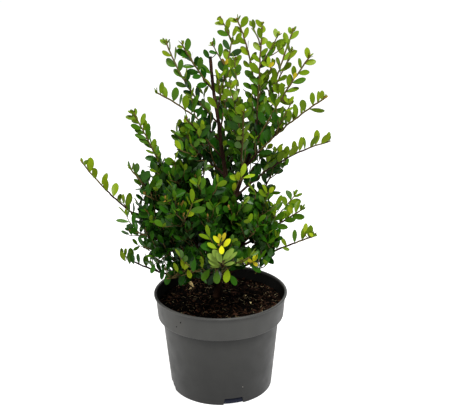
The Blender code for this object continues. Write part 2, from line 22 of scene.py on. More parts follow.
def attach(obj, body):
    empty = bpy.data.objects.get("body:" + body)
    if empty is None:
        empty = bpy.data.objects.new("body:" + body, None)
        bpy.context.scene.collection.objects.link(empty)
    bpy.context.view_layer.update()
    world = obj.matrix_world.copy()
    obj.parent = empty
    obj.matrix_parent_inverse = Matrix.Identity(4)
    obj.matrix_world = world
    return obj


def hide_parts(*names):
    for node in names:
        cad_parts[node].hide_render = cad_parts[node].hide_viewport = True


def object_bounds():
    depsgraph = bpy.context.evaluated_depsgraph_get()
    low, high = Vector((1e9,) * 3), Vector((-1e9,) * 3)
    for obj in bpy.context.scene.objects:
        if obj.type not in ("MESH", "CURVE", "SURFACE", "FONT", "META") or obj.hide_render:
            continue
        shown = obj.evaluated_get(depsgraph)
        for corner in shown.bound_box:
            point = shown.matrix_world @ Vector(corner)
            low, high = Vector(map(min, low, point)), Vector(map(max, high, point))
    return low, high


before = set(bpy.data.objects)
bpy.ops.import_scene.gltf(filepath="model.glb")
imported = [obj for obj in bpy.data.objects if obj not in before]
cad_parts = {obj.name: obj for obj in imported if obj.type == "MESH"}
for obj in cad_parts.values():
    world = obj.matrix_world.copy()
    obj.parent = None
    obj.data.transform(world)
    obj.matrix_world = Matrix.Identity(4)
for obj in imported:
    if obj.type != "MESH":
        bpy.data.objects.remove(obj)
SOLID_BOX = [list(corner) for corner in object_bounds()]

MM = 0.001
UP = Vector((0, 0, 1))
TINY = 0.01 * MM

# Pot, as in the solids but with finer rounds
POT_HEIGHT = 146 * MM
RIM_RADIUS = 96 * MM
LIP_HEIGHT = 3.2 * MM
LIP_TURN = (-55, 190)  # the lip's round, in degrees from outward
LIP_STEPS = 18
COLLAR_TOP_RADIUS = 93.6 * MM
COLLAR_FOOT_RADIUS = 91 * MM
COLLAR_FOOT = 109.7 * MM  # where the collar steps in to the wall
COLLAR_ROUND = 2.3 * MM
WALL_TOP_RADIUS = 84.3 * MM
FOOT_RADIUS = 73.9 * MM
FOOT_ROUND = 2.4 * MM
ROUND_STEPS = 6
WALL = 1.6 * MM
POT_STEPS = 192
SHARP_EDGE = math.radians(32)
NOTCH_COUNT = 4
NOTCH_BEARING = 13
NOTCH_WIDTH = 33 * MM
NOTCH_HEIGHT = 11 * MM
NOTCH_DEPTH = 12 * MM
NOTCH_TOP_SHARE = 0.78  # of the notch's width at the foot
# The band behind the notches: height, and depth inside the wall, in mm
RECESS = ((1.9, 0.05), (13, 0.05), (13, 0.25), (1.9, 0.25), (1.9, 0.05))
# Crumbs of medium that stick to the pot: bearing, height, length and lean
POT_SPECKS = ((-36.7, 131, 3.4, 20), (-42, 122, 2.6, 10), (22.8, 27.5, 1.8, 0))

# Growing medium
SOIL_TOP = 134 * MM
SOIL_EDGE = 127 * MM
SOIL_SIDE_TOP = SOIL_EDGE - 6 * MM
SOIL_GAP = 0.3 * MM
SOIL_LEVEL_RADIUS = 14 * MM
SOIL_EDGE_RADIUS = 90.3 * MM
SOIL_RINGS = 62
SOIL_SECTORS = 220
SOIL_SEED = 77
SPECK_SEED = 5
SOIL_MIDDLE = 0.02 * MM
LUMP_SIZE = 11 * MM
LUMP_HEIGHT = 2.2 * MM
GRAIN_SIZE = 2.6 * MM
GRAIN_HEIGHT = 0.9 * MM
CRUMB_COUNT = 2600
CHIP_COUNT = 230
FIBRE_COUNT = 760

# Limbs
TRUNK_FOOT_RADIUS = 5.2 * MM
TRUNK_TIP_RADIUS = 2.2 * MM
TRUNK_THINNING = 1.8  # how early the trunk thins; 1 is an even taper
FLARE = 2.6 * MM
FLARE_HEIGHT = 9 * MM
LIMB_STEP = 1.5 * MM
LIMB_SIDES = 18
LEADER = (
    (-4, 5, 134.3), (-2, 4, 165), (4, 1, 215), (9, 0, 285), (8, 0, 326),
    (3, 0, 365), (0, 0, 395), (-6, 0, 436), (-10, 0, 483),
)
# Name, foot, bearing, reach, height, bow, and the radius at foot and tip, in mm
BOUGHS = (
    ("right", 240, 100, 52, 372, 0, 3.6, 2.1),
    ("left", 185, -90, 46, 262, 3, 3.2, 1.9),
    ("left_low", 163, -66, 42, 217, 2, 2.8, 1.8),
    ("left_bottom", 148, -83, 44, 169, 3, 2.4, 1.7),
    ("front", 154, 0, 32, 181, 2, 2.4, 1.7),
    ("front_left", 172, -32, 40, 207, 2, 2.6, 1.7),
    ("front_right", 180, 32, 34, 212, 2, 2.6, 1.7),
    ("right_low", 160, 63, 38, 190, 2, 2.5, 1.7),
    ("right_middle", 187, 99, 40, 216, 2, 2.5, 1.7),
    ("back", 200, 175, 42, 254, 2, 2.8, 1.8),
    ("back_left", 168, -141, 46, 210, 2, 2.6, 1.7),
    ("back_right", 174, 140, 46, 212, 2, 2.6, 1.7),
)

# Foliage: one stem a mass from a limb to a tip, the count of its twigs in the
# solids, and shoots of its own, each from a share of the stem to a bearing, a
# reach and a height. A mass with few twigs is an open arm.
Mass = namedtuple("Mass", "name limb foot bearing reach height bow swing twigs shoots", defaults=[()])
MASSES = (
    Mass("top_left", "trunk", 436, -57, 56, 507, -2, 0, 1),
    Mass("upper_left", "trunk", 392, -113, 76, 501, -9, 0, 2),
    Mass("left_spray", "trunk", 366, -58, 96, 447, 6, 0, 3),
    Mass("top", "trunk", 408, 134, 28, 503, 0, 0, 1,
         ((0.97, 171, 20, 535), (0.6, -90, 8, 501))),
    Mass("top_middle", "bough_right", 364, 152, 56, 528, 0, 13, 2),
    Mass("top_cluster", "bough_right", 372, 116, 67, 524, 0, 0, 3,
         ((0.6, 100, 84, 511), (0.8, 136, 66, 520))),
    Mass("top_right", "bough_right", 350, 123, 126, 508, 0, 0, 2,
         ((0.4, 101, 103, 489),)),
    Mass("right_outer", "bough_right", 339, 90, 124, 484, 4, 0, 4),
    Mass("right_fore", "bough_right", 328, 70, 148, 437, 6, 0, 3,
         ((0.4, 67, 105, 432),)),
    Mass("right_arm", "bough_right", 284, 104, 165, 356, 10, -6, 3),
    Mass("inner_right", "bough_right", 310, 26, 74, 425, 0, 0, 4,
         ((0.3, 37, 37, 487), (0.6, 17, 50, 455))),
    Mass("inner_left", "trunk", 340, -33, 78, 415, 2, 0, 4,
         ((0.4, -24, 80, 365),)),
    Mass("inner_back", "trunk", 318, -126, 72, 362, 2, 0, 4),
    Mass("left_high", "bough_left", 262, -90, 116, 412, 0, 0, 3),
    Mass("left_far", "bough_left_low", 217, -80, 188, 352, -13, 0, 2),
    Mass("left_middle", "bough_left", 250, -62, 132, 349, -6, 0, 4),
    Mass("left_crown", "bough_left", 236, -57, 72, 350, 0, 0, 5,
         ((0.15, -60, 116, 312), (0.5, -27, 67, 336))),
    Mass("left_front", "bough_front_left", 207, -36, 117, 317, 2, 0, 5,
         ((0.4, -23, 119, 300),)),
    Mass("left_fore", "bough_left_low", 198, -65, 136, 262, 2, 0, 5,
         ((0.3, -52, 112, 230), (0.4, -62, 112, 288))),
    Mass("left_bottom", "bough_left_bottom", 169, -85, 142, 211, -8, 0, 2),
    Mass("left_rim", "bough_left_bottom", 163, -45, 104, 196, 4, 0, 4),
    Mass("left_bottom_back", "bough_left_bottom", 157, -114, 124, 200, 2, 0, 4),
    Mass("front", "bough_front", 181, 0, 128, 268, -10, 0, 4,
         ((0.3, -24, 102, 216), (0.55, 27, 94, 222))),
    Mass("front_high", "bough_front_left", 192, -8, 108, 297, 0, 0, 5,
         ((0.25, 24, 66, 332), (0.5, -14, 82, 330))),
    Mass("front_right", "bough_front_right", 212, 25, 110, 275, 0, 0, 5,
         ((0.2, 49, 91, 318), (0.3, 10, 78, 298))),
    Mass("right_low", "bough_right_low", 190, 68, 139, 247, 3, 0, 3,
         ((0.2, 30, 94, 205), (0.25, 47, 98, 240), (0.3, 34, 92, 236))),
    Mass("right_middle", "bough_right_middle", 216, 90, 118, 269, 0, 0, 3,
         ((0.3, 114, 122, 275),)),
    Mass("right_inner", "bough_right_middle", 204, 104, 66, 270, 0, 0, 5),
    Mass("back_top", "trunk", 380, 160, 62, 462, 0, 0, 4),
    Mass("back_upper", "bough_back", 254, 168, 112, 400, 0, 0, 5),
    Mass("back_middle", "bough_back", 240, -150, 116, 352, 0, 0, 5),
    Mass("back_low", "bough_back", 226, 178, 132, 262, 0, 0, 5),
    Mass("back_left", "bough_back_left", 210, -132, 136, 308, 0, 0, 5,
         ((0.2, -150, 130, 222),)),
    Mass("back_right", "bough_back_right", 212, 136, 132, 322, 0, 0, 5,
         ((0.2, 150, 132, 226),)),
    Mass("back_right_upper", "bough_right", 296, 140, 96, 400, 0, 0, 5),
)
OPEN_ARM = 3  # a mass with this many twigs or fewer is an open arm
OPEN_HEIGHT = 400 * MM  # and so is a shoot that ends above this
SMALL_LEAVED = {
    "left_rim": 0.78, "left_bottom": 0.82, "left_bottom_back": 0.82,
    "left_fore": 0.92, "left_high": 0.84,
}
# Masses whose leaves stand in two ranks at a pitch of their own, in mm
OWN_PITCH = {"left_high": 3.8, "right_middle": 6.5}
ARM_PITCH = {"right_fore": 7, "right_arm": 8}
BARE_TIP = {"left_middle": 0.55}  # the share of a stem that bears twigs
DENSE_SHOOTS = {"right_low"}  # arms whose own shoots bear leaves like the body

# The rule for stems and twigs
FIRST_SEED = 500
STEM_STEP = 5 * MM
TUBE_SIDES = 6
# Radii at the foot and at the tip
STEM_RADII = (1.9 * MM, 1.1 * MM)
HIGH_STEM_RADII = (1.4 * MM, 1.1 * MM)
TWIG_RADII = (0.95 * MM, 0.6 * MM)
SHOOT_RADII = (1.3 * TWIG_RADII[0], 1.3 * TWIG_RADII[1])
TWIGLET_RADII = (0.75 * TWIG_RADII[0], 0.8 * TWIG_RADII[1])
LONE_TWIG_RADII = (0.7 * MM, 0.5 * MM)
WANDER = 0.5 * MM
WANDER_SHARE = 0.6  # of the wander, at each point of a stem
SPREAD_TURN = math.radians(137.5)
FLAT_SHOOT = 0.74
TWIG_ANGLE = math.radians(40)
TWIG_SPACING = 8 * MM
TWIG_START = 0.08
TWIG_END = 0.92
ARM_TWIG_SPACING = 25 * MM
ARM_TWIG_END = 0.55
TWIG_LENGTH = 42 * MM
TWIG_LENGTHS = (0.7, 1.15)  # shares of it
OPEN_TWIG_LENGTH = 0.75
TWIG_LIFT = 0.25
TWIG_BOW = -1.5
TWIG_STEP = 8 * MM
TWIGLET_LENGTH = 22 * MM
TWIGLET_SPACING = 12 * MM
TWIGLET_BEARER = 34 * MM  # the shortest twig that bears twiglets
TUFT_REST = 4 * MM  # the end of a path that its tuft takes
DROOP_CHANCE = 0.3  # for a side twig to hang from a flat shoot
STRAY = 20 * MM  # how far a twig or leaf may stray into another mass's space
CLEARANCE = 2 * MM  # over the pot and the medium
WALL_SPACE = (82 * MM, 100 * MM)  # radii between which the wall and its lip stand
SIGHT_DEPTH = 4 * MM  # a leaf hides what is more than this behind it
TRIES = 3  # for each twig and leaf to find room
FEWEST_LEAVES = 3  # of a side twig that is kept
YOUNG_SHARE = 0.75  # of a high stem, from its tip
LOW_YOUNG_SHARE = 0.25

# The rule for leaves
BARE = 0.12  # the share of a shoot's foot without leaves
LEAF_PITCH = 6.2 * MM
OPEN_LEAF_PITCH = 7.6 * MM
FLAT_LEAF_PITCH = 11  # mm
LEAF_LENGTH = 21 * MM
LEAF_LENGTHS = (0.86, 1.14)  # shares of it
LEAF_WIDTH = 0.43  # share of a leaf's length, low on the shrub
LEAF_WIDTHS = (0.85, 1.15)  # shares of it
TOP_LEAF_WIDTH = 0.47
TOP_LEAF_SIZE = 0.85
LEAF_ANGLE = math.radians(41)
LEAF_ANGLES = (0.75, 1.3)  # shares of it
FLAT_LEAF_ANGLE = math.radians(62)
FLAT_LEAF_ANGLES = (0.7, 1.15)  # shares of it
BELOW_CHANCE = 0.08  # for a leaf under a flat arm
RANK_SCATTER = 0.5
FACE_SCATTER = 0.38
CURL = (-0.1, 0.16)
CUP = (-0.25, 0.05)
FOLD = (0.1, 0.36)
CURL_SHORTENS = 0.15
LEAF_MIDDLE = 0.55
SIGHT_SHARES = (0.35, 0.7, 1)  # the places of a leaf that may hide
FRONT_REACH = 60 * MM  # shoots that end before this Y face the front
SIZE_CLIMB = (320, 170)  # leaves take their top size from this height on, over so many mm
LEAF_THICKNESS = 0.3 * MM
LEAF_SPACE = 4.2 * MM
TUFT_LEAVES = 5
TUFT_ANGLES = (18, 52)
TUFT_SIZES = (0.36, 0.6)
TWIG_END_LEAVES = 2
TWIG_END_LARGER = 0.25
BRONZE_SIZES = (0.25, 0.36)
BRONZE_LEAVES = 2  # of a main shoot's tuft
BUD = ((0, 0.7), (1.2, 0.9), (2.6, 0.3))  # how far along, and radius, in mm
FINE_SIDES = 5
PETIOLE = 0.07
PETIOLE_WIDTH = 0.13
TIP_WIDTH = 0.1
BEFORE_WIDEST = 0.57  # a blade's share from its foot to its widest place
PAST_WIDEST = 0.43
LEAF_STATIONS = (0, 0.07, 0.2, 0.38, 0.58, 0.77, 0.92, 1)
LEAF_ACROSS = (-1, -0.5, 0, 0.5, 1)

# How light a leaf is, from 0 inside the shrub to 1 for the newest growth
INNER_TONE = 0.22
TIP_LIGHTER = 0.22  # a shoot's tip than its foot
TWIG_LIGHTER = 0.12  # a twig at a shoot's tip than one at its foot
# Painted light: leaves are lighter high up and on the right, where the light falls
HIGH_PAINTED_LIGHT = 0.32
# Far out, leaves are lighter as younger growth and also as painted light: outer leaves lit, inner ones
# shaded
FAR_YOUTH_AND_PAINTED_LIGHT = 0.28
RIGHT_PAINTED_LIGHT = 0.17
SMALL_LIGHTER = 0.5
TONE_SHIFT = -0.03
TONE_SCATTER = 0.09
# The lightest tone's gain at the top, over TONE_CLIMB, is painted light as well
LIGHTEST = (0.56, 0.38)  # low on the shrub, and the gain at its top
TONE_CLIMB = (200, 300)  # leaves get lighter from this height on, over so many mm
TONE_REACH = 170 * MM
ARM_TONE = 0.22  # how much lighter an open arm's leaves are at its tip
DEPTH_SHADE = 0.3
DEPTH_REACH = 15 * MM
DEPTH_RADIUS = 20 * MM
DEPTH_LEAVES = 12

# Leaves that stand out by themselves: tone, width, root and tip in mm
LONE_LEAVES = {
    "front": (
        ("yellow", 6, (1, -125, 265), (-8, -130, 278)), ("gold", 5, (2, -125, 268), (7, -127, 281)),
        ("yellow", 7, (4, -125, 261), (13, -131, 274)), ("new", 6, (-4, -125, 259), (-16, -128, 268)),
        ("yellow", 7, (2, -126, 264), (2, -132, 254)), ("gold", 5, (1, -125, 267), (-1, -124, 279)),
        ("pale", 9, (0, -122, 243), (-9, -130, 259)), ("pale", 9, (0, -121, 240), (-16, -127, 252)),
        ("pale", 9, (3, -121, 241), (17, -129, 260)), ("pale", 5, (4, -118, 236), (22, -120, 252)),
        ("pale", 8, (0, -118, 233), (-15, -125, 243)), ("pale", 4, (0, -116, 230), (-13, -118, 232)),
        ("pale", 9, (2, -121, 238), (-4, -130, 255)), ("pale", 5, (5, -117, 233), (18, -118, 237)),
        ("bright", 9.5, (10, -112, 226), (7, -121, 210)), ("mid", 10, (-4, -108, 222), (-5, -111, 204)),
        ("green", 9, (12, -104, 214), (21, -107, 200)), ("mid", 9, (-14, -100, 221), (-24, -106, 207)),
        ("green", 6, (-26, -98, 218), (-19, -99, 199)), ("green", 7, (-33, -98, 236), (-36, -102, 218)),
        ("yellow", 7, (43, -84, 223), (49, -86, 236)), ("gold", 5, (43, -84, 223), (35, -87, 229)),
        ("gold", 5, (43, -84, 223), (50, -86, 219)), ("new", 7, (35, -86, 221), (31, -90, 234)),
        ("bright", 6, (26, -90, 222), (29, -91, 241)), ("pale", 9, (25, -91, 221), (19, -98, 234)),
        ("green", 7, (40, -86, 219), (55, -82, 208)),
    ),
    "front_high": (
        ("new", 8, (29, -60, 334), (34, -62, 353)), ("new", 8, (27, -61, 331), (14, -67, 338)),
        ("lime", 7, (24, -61, 329), (25, -69, 344)), ("new", 5, (31, -58, 332), (48, -52, 335)),
        ("lime", 6, (18, -60, 315), (21, -66, 328)),
    ),
    "top_cluster": (
        ("new", 6, (68, 10, 466), (68, 8, 481)), ("new", 6, (68, 10, 467), (59, 8, 474)),
        ("gold", 5, (68, 10, 466), (75, 8, 473)),
    ),
    "right_outer": (
        ("gold", 5, (101, 0, 451), (104, -2, 461)), ("new", 5, (95, 0, 419), (101, -4, 429)),
        ("new", 5, (94, 0, 419), (89, -4, 429)),
    ),
    "right_arm": (
        ("new", 7, (66, 10, 353), (74, 6, 361)), ("lime", 6, (65, 10, 355), (59, 6, 364)),
    ),
    "top": (
        ("green", 7, (-11, -2, 480), (-18, -4, 493)), ("mid", 8, (-9, -2, 460), (-25, -8, 475)),
        ("bright", 6, (-9, -2, 444), (-20, -6, 455)), ("fresh", 9, (-2, -3, 414), (-14, -10, 431)),
        ("bright", 6, (3, 20, 533), (7, 18, 523)), ("bright", 4, (3, 20, 533), (0, 18, 528)),
        ("fresh", 7, (16, 20, 508), (11, 17, 520)), ("bright", 6, (20, 20, 505), (26, 17, 520)),
        ("fresh", 7, (24, 21, 500), (32, 18, 511)), ("bronze", 5, (9, 10, 469), (6, 8, 479)),
        ("gold", 5, (9, 10, 469), (14, 8, 478)),
    ),
    "front_right": (
        ("bright", 7, (63, -62, 312), (57, -64, 325)), ("lime", 6, (66, -62, 312), (71, -64, 321)),
        ("fresh", 7, (62, -62, 307), (52, -66, 318)),
    ),
    "right_low": (
        ("lime", 7, (114, -54, 253), (116, -56, 267)), ("lime", 5, (120, -53, 252), (126, -55, 248)),
        ("fresh", 5, (85, -46, 228), (95, -49, 226)), ("bright", 6, (91, -46, 230), (84, -50, 244)),
    ),
    "right_middle": (
        ("lime", 7, (102, -4, 262), (97, -6, 274)),
    ),
    "left_bottom": (
        ("bright", 7, (-134, -16, 199), (-139, -18, 215)), ("mid", 8, (-128, -18, 196), (-126, -22, 217)),
        ("green", 7, (-122, -20, 196), (-123, -24, 213)),
    ),
    "left_rim": (
        ("lime", 6, (-48, -74, 209), (-52, -76, 225)), ("lime", 6, (-48, -74, 209), (-42, -78, 223)),
        ("lime", 7, (-44, -74, 210), (-40, -79, 199)), ("bright", 6, (-24, -84, 215), (-25, -86, 233)),
        ("bright", 6, (-57, -70, 204), (-62, -74, 219)), ("dark", 9, (-50, -66, 205), (-54, -72, 185)),
        ("green", 9, (-70, -56, 201), (-74, -62, 182)), ("dark", 7, (-77, -56, 207), (-81, -60, 189)),
    ),
    "left_front": (
        ("bronze", 4, (-50, -92, 304), (-53, -94, 311)), ("bronze", 4, (-50, -92, 304), (-46, -94, 314)),
        ("lime", 9, (-48, -92, 298), (-33, -96, 296)), ("fresh", 7, (-48, -92, 300), (-44, -92, 312)),
    ),
}
LONE_MARGIN = 5 * MM

# Lanes that run through the crown and stay open, where the sky shows through:
# X, height and radius in mm
LANES = (
    (-15, 334, 6), (-9, 320, 4), (-5, 308, 3), (-132, 274, 5), (-127, 237, 6), (-67, 374, 6),
    (-63, 359, 6), (-72, 360, 4), (51, 180, 6), (32, 180, 6), (45, 187, 6), (59, 187, 8),
    (61, 172, 7), (89, 249, 5), (95, 236, 5), (86, 233, 5), (-55, 325, 3.5), (-64, 216, 4),
    (40, 344, 5.5), (27, 295, 4), (32, 309, 4), (38, 306, 4), (49, 314, 5), (58, 322, 5.5),
    (69, 321, 6), (67, 285, 4), (77, 297, 4), (69, 295, 4), (63, 318, 5), (74, 326, 6),
    (91, 275, 3), (83, 204, 7), (74, 190, 8), (90, 219, 5), (96, 197, 9), (84, 316, 8),
    (95, 328, 9), (122, 279, 5), (98, 212, 8),
)
LANE_Y = -40 * MM

# Stretches of limbs that stay in sight of the front: from and to a height, and a margin
SEEN = (("trunk", 318, 483, 4), ("bough_right", 292, 350, 3))

# Leaf colours from the shaded inside to the newest growth
LEAF_TONES = (
    ("deep", (0.002, 0.014, 0.0004)),
    ("dark", (0.005, 0.033, 0.0010)),
    ("green", (0.014, 0.060, 0.002)),
    ("mid", (0.036, 0.092, 0.003)),
    ("fresh", (0.080, 0.136, 0.004)),
    ("bright", (0.120, 0.178, 0.005)),
    ("lime", (0.190, 0.255, 0.008)),
)
SPECIAL_TONES = (
    ("new", (0.180, 0.270, 0.008)),
    ("yellow", (0.430, 0.440, 0.010)),
    ("gold", (0.300, 0.250, 0.012)),
    ("pale", (0.150, 0.225, 0.036)),
    ("bronze", (0.180, 0.110, 0.022)),
)
# An underside takes the dark or the light copy after its leaf's tone, so the pair carries that tone's
# painted light and shade as well as leaf age
UNDER_TONES = (
    ("under_dark", (0.020, 0.055, 0.010)),
    ("under_light", (0.110, 0.180, 0.008)),
)
TONE_NAMES = [name for name, _ in LEAF_TONES + SPECIAL_TONES + UNDER_TONES]
DRY_LEAF_TONE = (0.85, 0.68, 0.34)
LEAF_ROUGHNESS = 0.3
UNDER_ROUGHNESS = 0.5
YOUNG_GREEN = 0.1  # a leaf with more green than this is young, with little gloss
YOUNG_SHINE = 0.04
LEAF_SHINE = 0.1
TWIG_TONES = (
    ("twig_old", (0.022, 0.010, 0.006)),
    ("twig_young", (0.070, 0.052, 0.016)),
    ("bud_bronze", (0.100, 0.070, 0.020)),
)
BARK_TONE = (0.03, 0.014, 0.009)
BARK_STOPS = (
    (0.3, (0.004, 0.002, 0.0015)),
    (0.5, (0.012, 0.005, 0.003)),
    (0.64, (0.032, 0.015, 0.009)),
    (0.78, (0.08, 0.05, 0.03)),
)

# Plastic colours, and painted shade on the pot: a factor on its colour at each height in mm, darkest just
# under the collar and at the foot
POT_GREY = (0.034, 0.034, 0.033)
POT_STOPS = (
    (0.3, (0.030, 0.030, 0.028)),
    (0.55, (0.034, 0.034, 0.0315)),
    (0.8, (0.040, 0.039, 0.0355)),
)
WALL_PAINTED_SHADE = (
    (0, 0.18), (10, 0.28), (26, 0.34), (42, 0.38), (70, 0.52), (90, 0.61),
    (97, 0.58), (101, 0.5), (106, 0.32), (109.5, 0.22), (111, 0.97), (146, 1),
)
# The band behind the notches is darker and bluer than the pot's plastic: painted shade
RECESS_PAINTED_SHADE = (0.009, 0.011, 0.022)

# Materials of the medium: name, dark colour, light colour and roughness
SOIL_TONE = ("potting_mix", (0.0006, 0.0004, 0.0003), (0.004, 0.0024, 0.0016), 0.9)
SPECK_TONES = (
    ("speck_dark", (0.001, 0.0007, 0.0005), (0.004, 0.003, 0.002), 0.9),
    ("speck_pale", (0.25, 0.24, 0.21), (0.45, 0.43, 0.38), 0.8),
)
CRUMB_TONES = (
    ("crumb_dark", (0.0006, 0.0004, 0.0003), (0.004, 0.0024, 0.0016), 0.9),
    ("crumb_brown", (0.006, 0.003, 0.002), (0.026, 0.013, 0.008), 0.85),
)
CHIP_TONES = (
    ("chip_brown", (0.020, 0.010, 0.005), (0.085, 0.045, 0.022), 0.75),
    ("chip_red", (0.022, 0.009, 0.005), (0.060, 0.026, 0.014), 0.75),
)
FIBRE_TONES = (
    ("fibre_dark", (0.008, 0.005, 0.003), (0.030, 0.018, 0.010), 0.85),
    ("fibre_brown", (0.030, 0.014, 0.008), (0.105, 0.052, 0.030), 0.8),
    ("fibre_pale", (0.14, 0.115, 0.06), (0.36, 0.30, 0.17), 0.75),
)

# Studio, and the camera as it stood for the photograph
LIGHT_AIM = (0, 0, 0.3)
CAMERA_PLACE = (0, -1.1954, 0.6770)
CAMERA_YAW = math.radians(0.365)
CAMERA_PITCH = math.radians(18.882)
CAMERA_ROLL = math.radians(-0.594)
SENSOR_WIDTH = 36
LENS = 72.15


# Paths

def place(bearing, reach, height):
    """The point in metres at a bearing in degrees, a reach and a height in mm."""
    turn = math.radians(bearing)
    return Vector((reach * math.sin(turn), -reach * math.cos(turn), height)) * MM


def square_to(vector, axis):
    """The part of a vector that is square to an axis, as a direction."""
    return (vector - axis * vector.dot(axis)).normalized()


def climb(point, foot, run):
    """How far a point is up a climb of so many mm from a foot's height, from 0 to 1."""
    return min(1, max(0, (point.z / MM - foot) / run))


def smooth_path(points, spacing):
    """Points along a smooth curve through the given ones, about spacing apart."""
    ends = [2 * points[0] - points[1]] + list(points) + [2 * points[-1] - points[-2]]
    path = []
    for before, start, end, after in zip(ends, ends[1:], ends[2:], ends[3:]):
        steps = max(1, round((end - start).length / spacing))
        for step in range(steps):
            t = step / steps
            straight = (end - before) * t
            bend = (2 * before - 5 * start + 4 * end - after) * t * t
            turn = (3 * start - before - 3 * end + after) * t**3
            path.append(0.5 * (2 * start + straight + bend + turn))
    path.append(points[-1].copy())
    return path


def bowed_path(start, tip, bow, swing, spacing):
    """A curve from start to tip whose middle is raised by bow and moved right by swing."""
    run = tip - start
    across = run.cross(UP).normalized()
    up = across.cross(run).normalized()
    control = start.lerp(tip, 0.5) + 2 * (up * bow + across * swing) * MM
    steps = max(2, round(run.length / spacing))
    path = []
    for step in range(steps + 1):
        t = step / steps
        path.append((1 - t) ** 2 * start + 2 * t * (1 - t) * control + t * t * tip)
    return path


def lengths(path):
    """How far along the path each of its points is."""
    total = [0.0]
    for start, end in zip(path, path[1:]):
        total.append(total[-1] + (end - start).length)
    return total


def at_share(path, share):
    """The point and the direction at a share of the path's length."""
    total = lengths(path)
    goal = share * total[-1]
    for index in range(len(path) - 1):
        if goal <= total[index + 1] or index == len(path) - 2:
            run = path[index + 1] - path[index]
            part = (goal - total[index]) / run.length
            return path[index] + run * part, run.normalized()


def at_height(path, height):
    """The point where a rising path reaches a height."""
    for start, end in zip(path, path[1:]):
        if start.z <= height <= end.z:
            return start.lerp(end, (height - start.z) / (end.z - start.z))
    return path[-1].copy()


def sampled(path, spacing):
    """Points along a path at an even spacing."""
    count = max(2, round(lengths(path)[-1] / spacing))
    return [at_share(path, step / count)[0] for step in range(count + 1)]


def tapers(path, foot_radius, tip_radius):
    """The radius at each point of a path that thins evenly."""
    total = lengths(path)
    return [foot_radius + (tip_radius - foot_radius) * far / total[-1] for far in total]


# Objects and meshes from arrays

def new_object(name, data):
    """An object in the scene with this data."""
    thing = bpy.data.objects.new(name, data)
    bpy.context.scene.collection.objects.link(thing)
    return thing


def declare(piece, slot, *nodes):
    """Hides the solids of the nodes that a piece stands for and puts the piece in the root body; slot, its
    material, is not used.
    """
    if nodes:
        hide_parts(*nodes)
    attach(piece, "root")


class Pile:
    """Gathers the points and faces of many small pieces, to be one mesh."""

    def __init__(self):
        self.points = []
        self.corners = []
        self.sizes = []
        self.slots = []
        self.count = 0

    def add(self, points, faces, slots):
        """Adds a piece: points (n, 3), faces (m, k) and one slot or m slots."""
        faces = np.asarray(faces)
        self.points.append(np.asarray(points, dtype=np.float32))
        self.corners.append((faces + self.count).ravel())
        self.sizes.append(np.full(len(faces), faces.shape[1]))
        self.slots.append(np.broadcast_to(slots, len(faces)))
        self.count += len(points)

    def build(self, name, materials):
        """The mesh object, smooth shaded, with these materials."""
        corners = np.concatenate(self.corners)
        sizes = np.concatenate(self.sizes)
        mesh = bpy.data.meshes.new(name)
        mesh.vertices.add(self.count)
        mesh.vertices.foreach_set("co", np.concatenate(self.points).ravel())
        mesh.loops.add(len(corners))
        mesh.loops.foreach_set("vertex_index", corners)
        mesh.polygons.add(len(sizes))
        mesh.polygons.foreach_set("loop_start", np.concatenate(([0], np.cumsum(sizes)[:-1])))
        mesh.polygons.foreach_set("material_index", np.concatenate(self.slots))
        mesh.polygons.foreach_set("use_smooth", np.ones(len(sizes), dtype=bool))
        mesh.update(calc_edges=True)
        for shader in materials:
            mesh.materials.append(shader)
        return new_object(name, mesh)


def ring_faces(rings, sides):
    """The faces between each ring of points and the next."""
    faces = []
    for ring in range(rings - 1):
        row, above = ring * sides, (ring + 1) * sides
        for side in range(sides):
            after = (side + 1) % sides
            faces.append((row + side, row + after, above + after, above + side))
    return faces


def tube(path, radii, sides, relief=None):
    """The points and faces of a tube along a path, with its ends drawn to a point."""
    path = [path[0]] + list(path) + [path[-1]]
    radii = [0] + list(radii) + [0]
    points = []
    across = None
    for index, centre in enumerate(path):
        ahead = path[min(index + 2, len(path) - 1)] - path[max(index - 2, 0)]
        ahead.normalize()
        if across is None:
            across = ahead.orthogonal().normalized()
        across = square_to(across, ahead)
        other = ahead.cross(across)
        for side in range(sides):
            turn = math.tau * side / sides
            radial = across * math.cos(turn) + other * math.sin(turn)
            radius = radii[index]
            if relief and radius > 0:
                radius *= 1 + relief(centre, radial, radius)
            points.append(centre + radial * radius)
    return points, ring_faces(len(path), sides)


# Materials

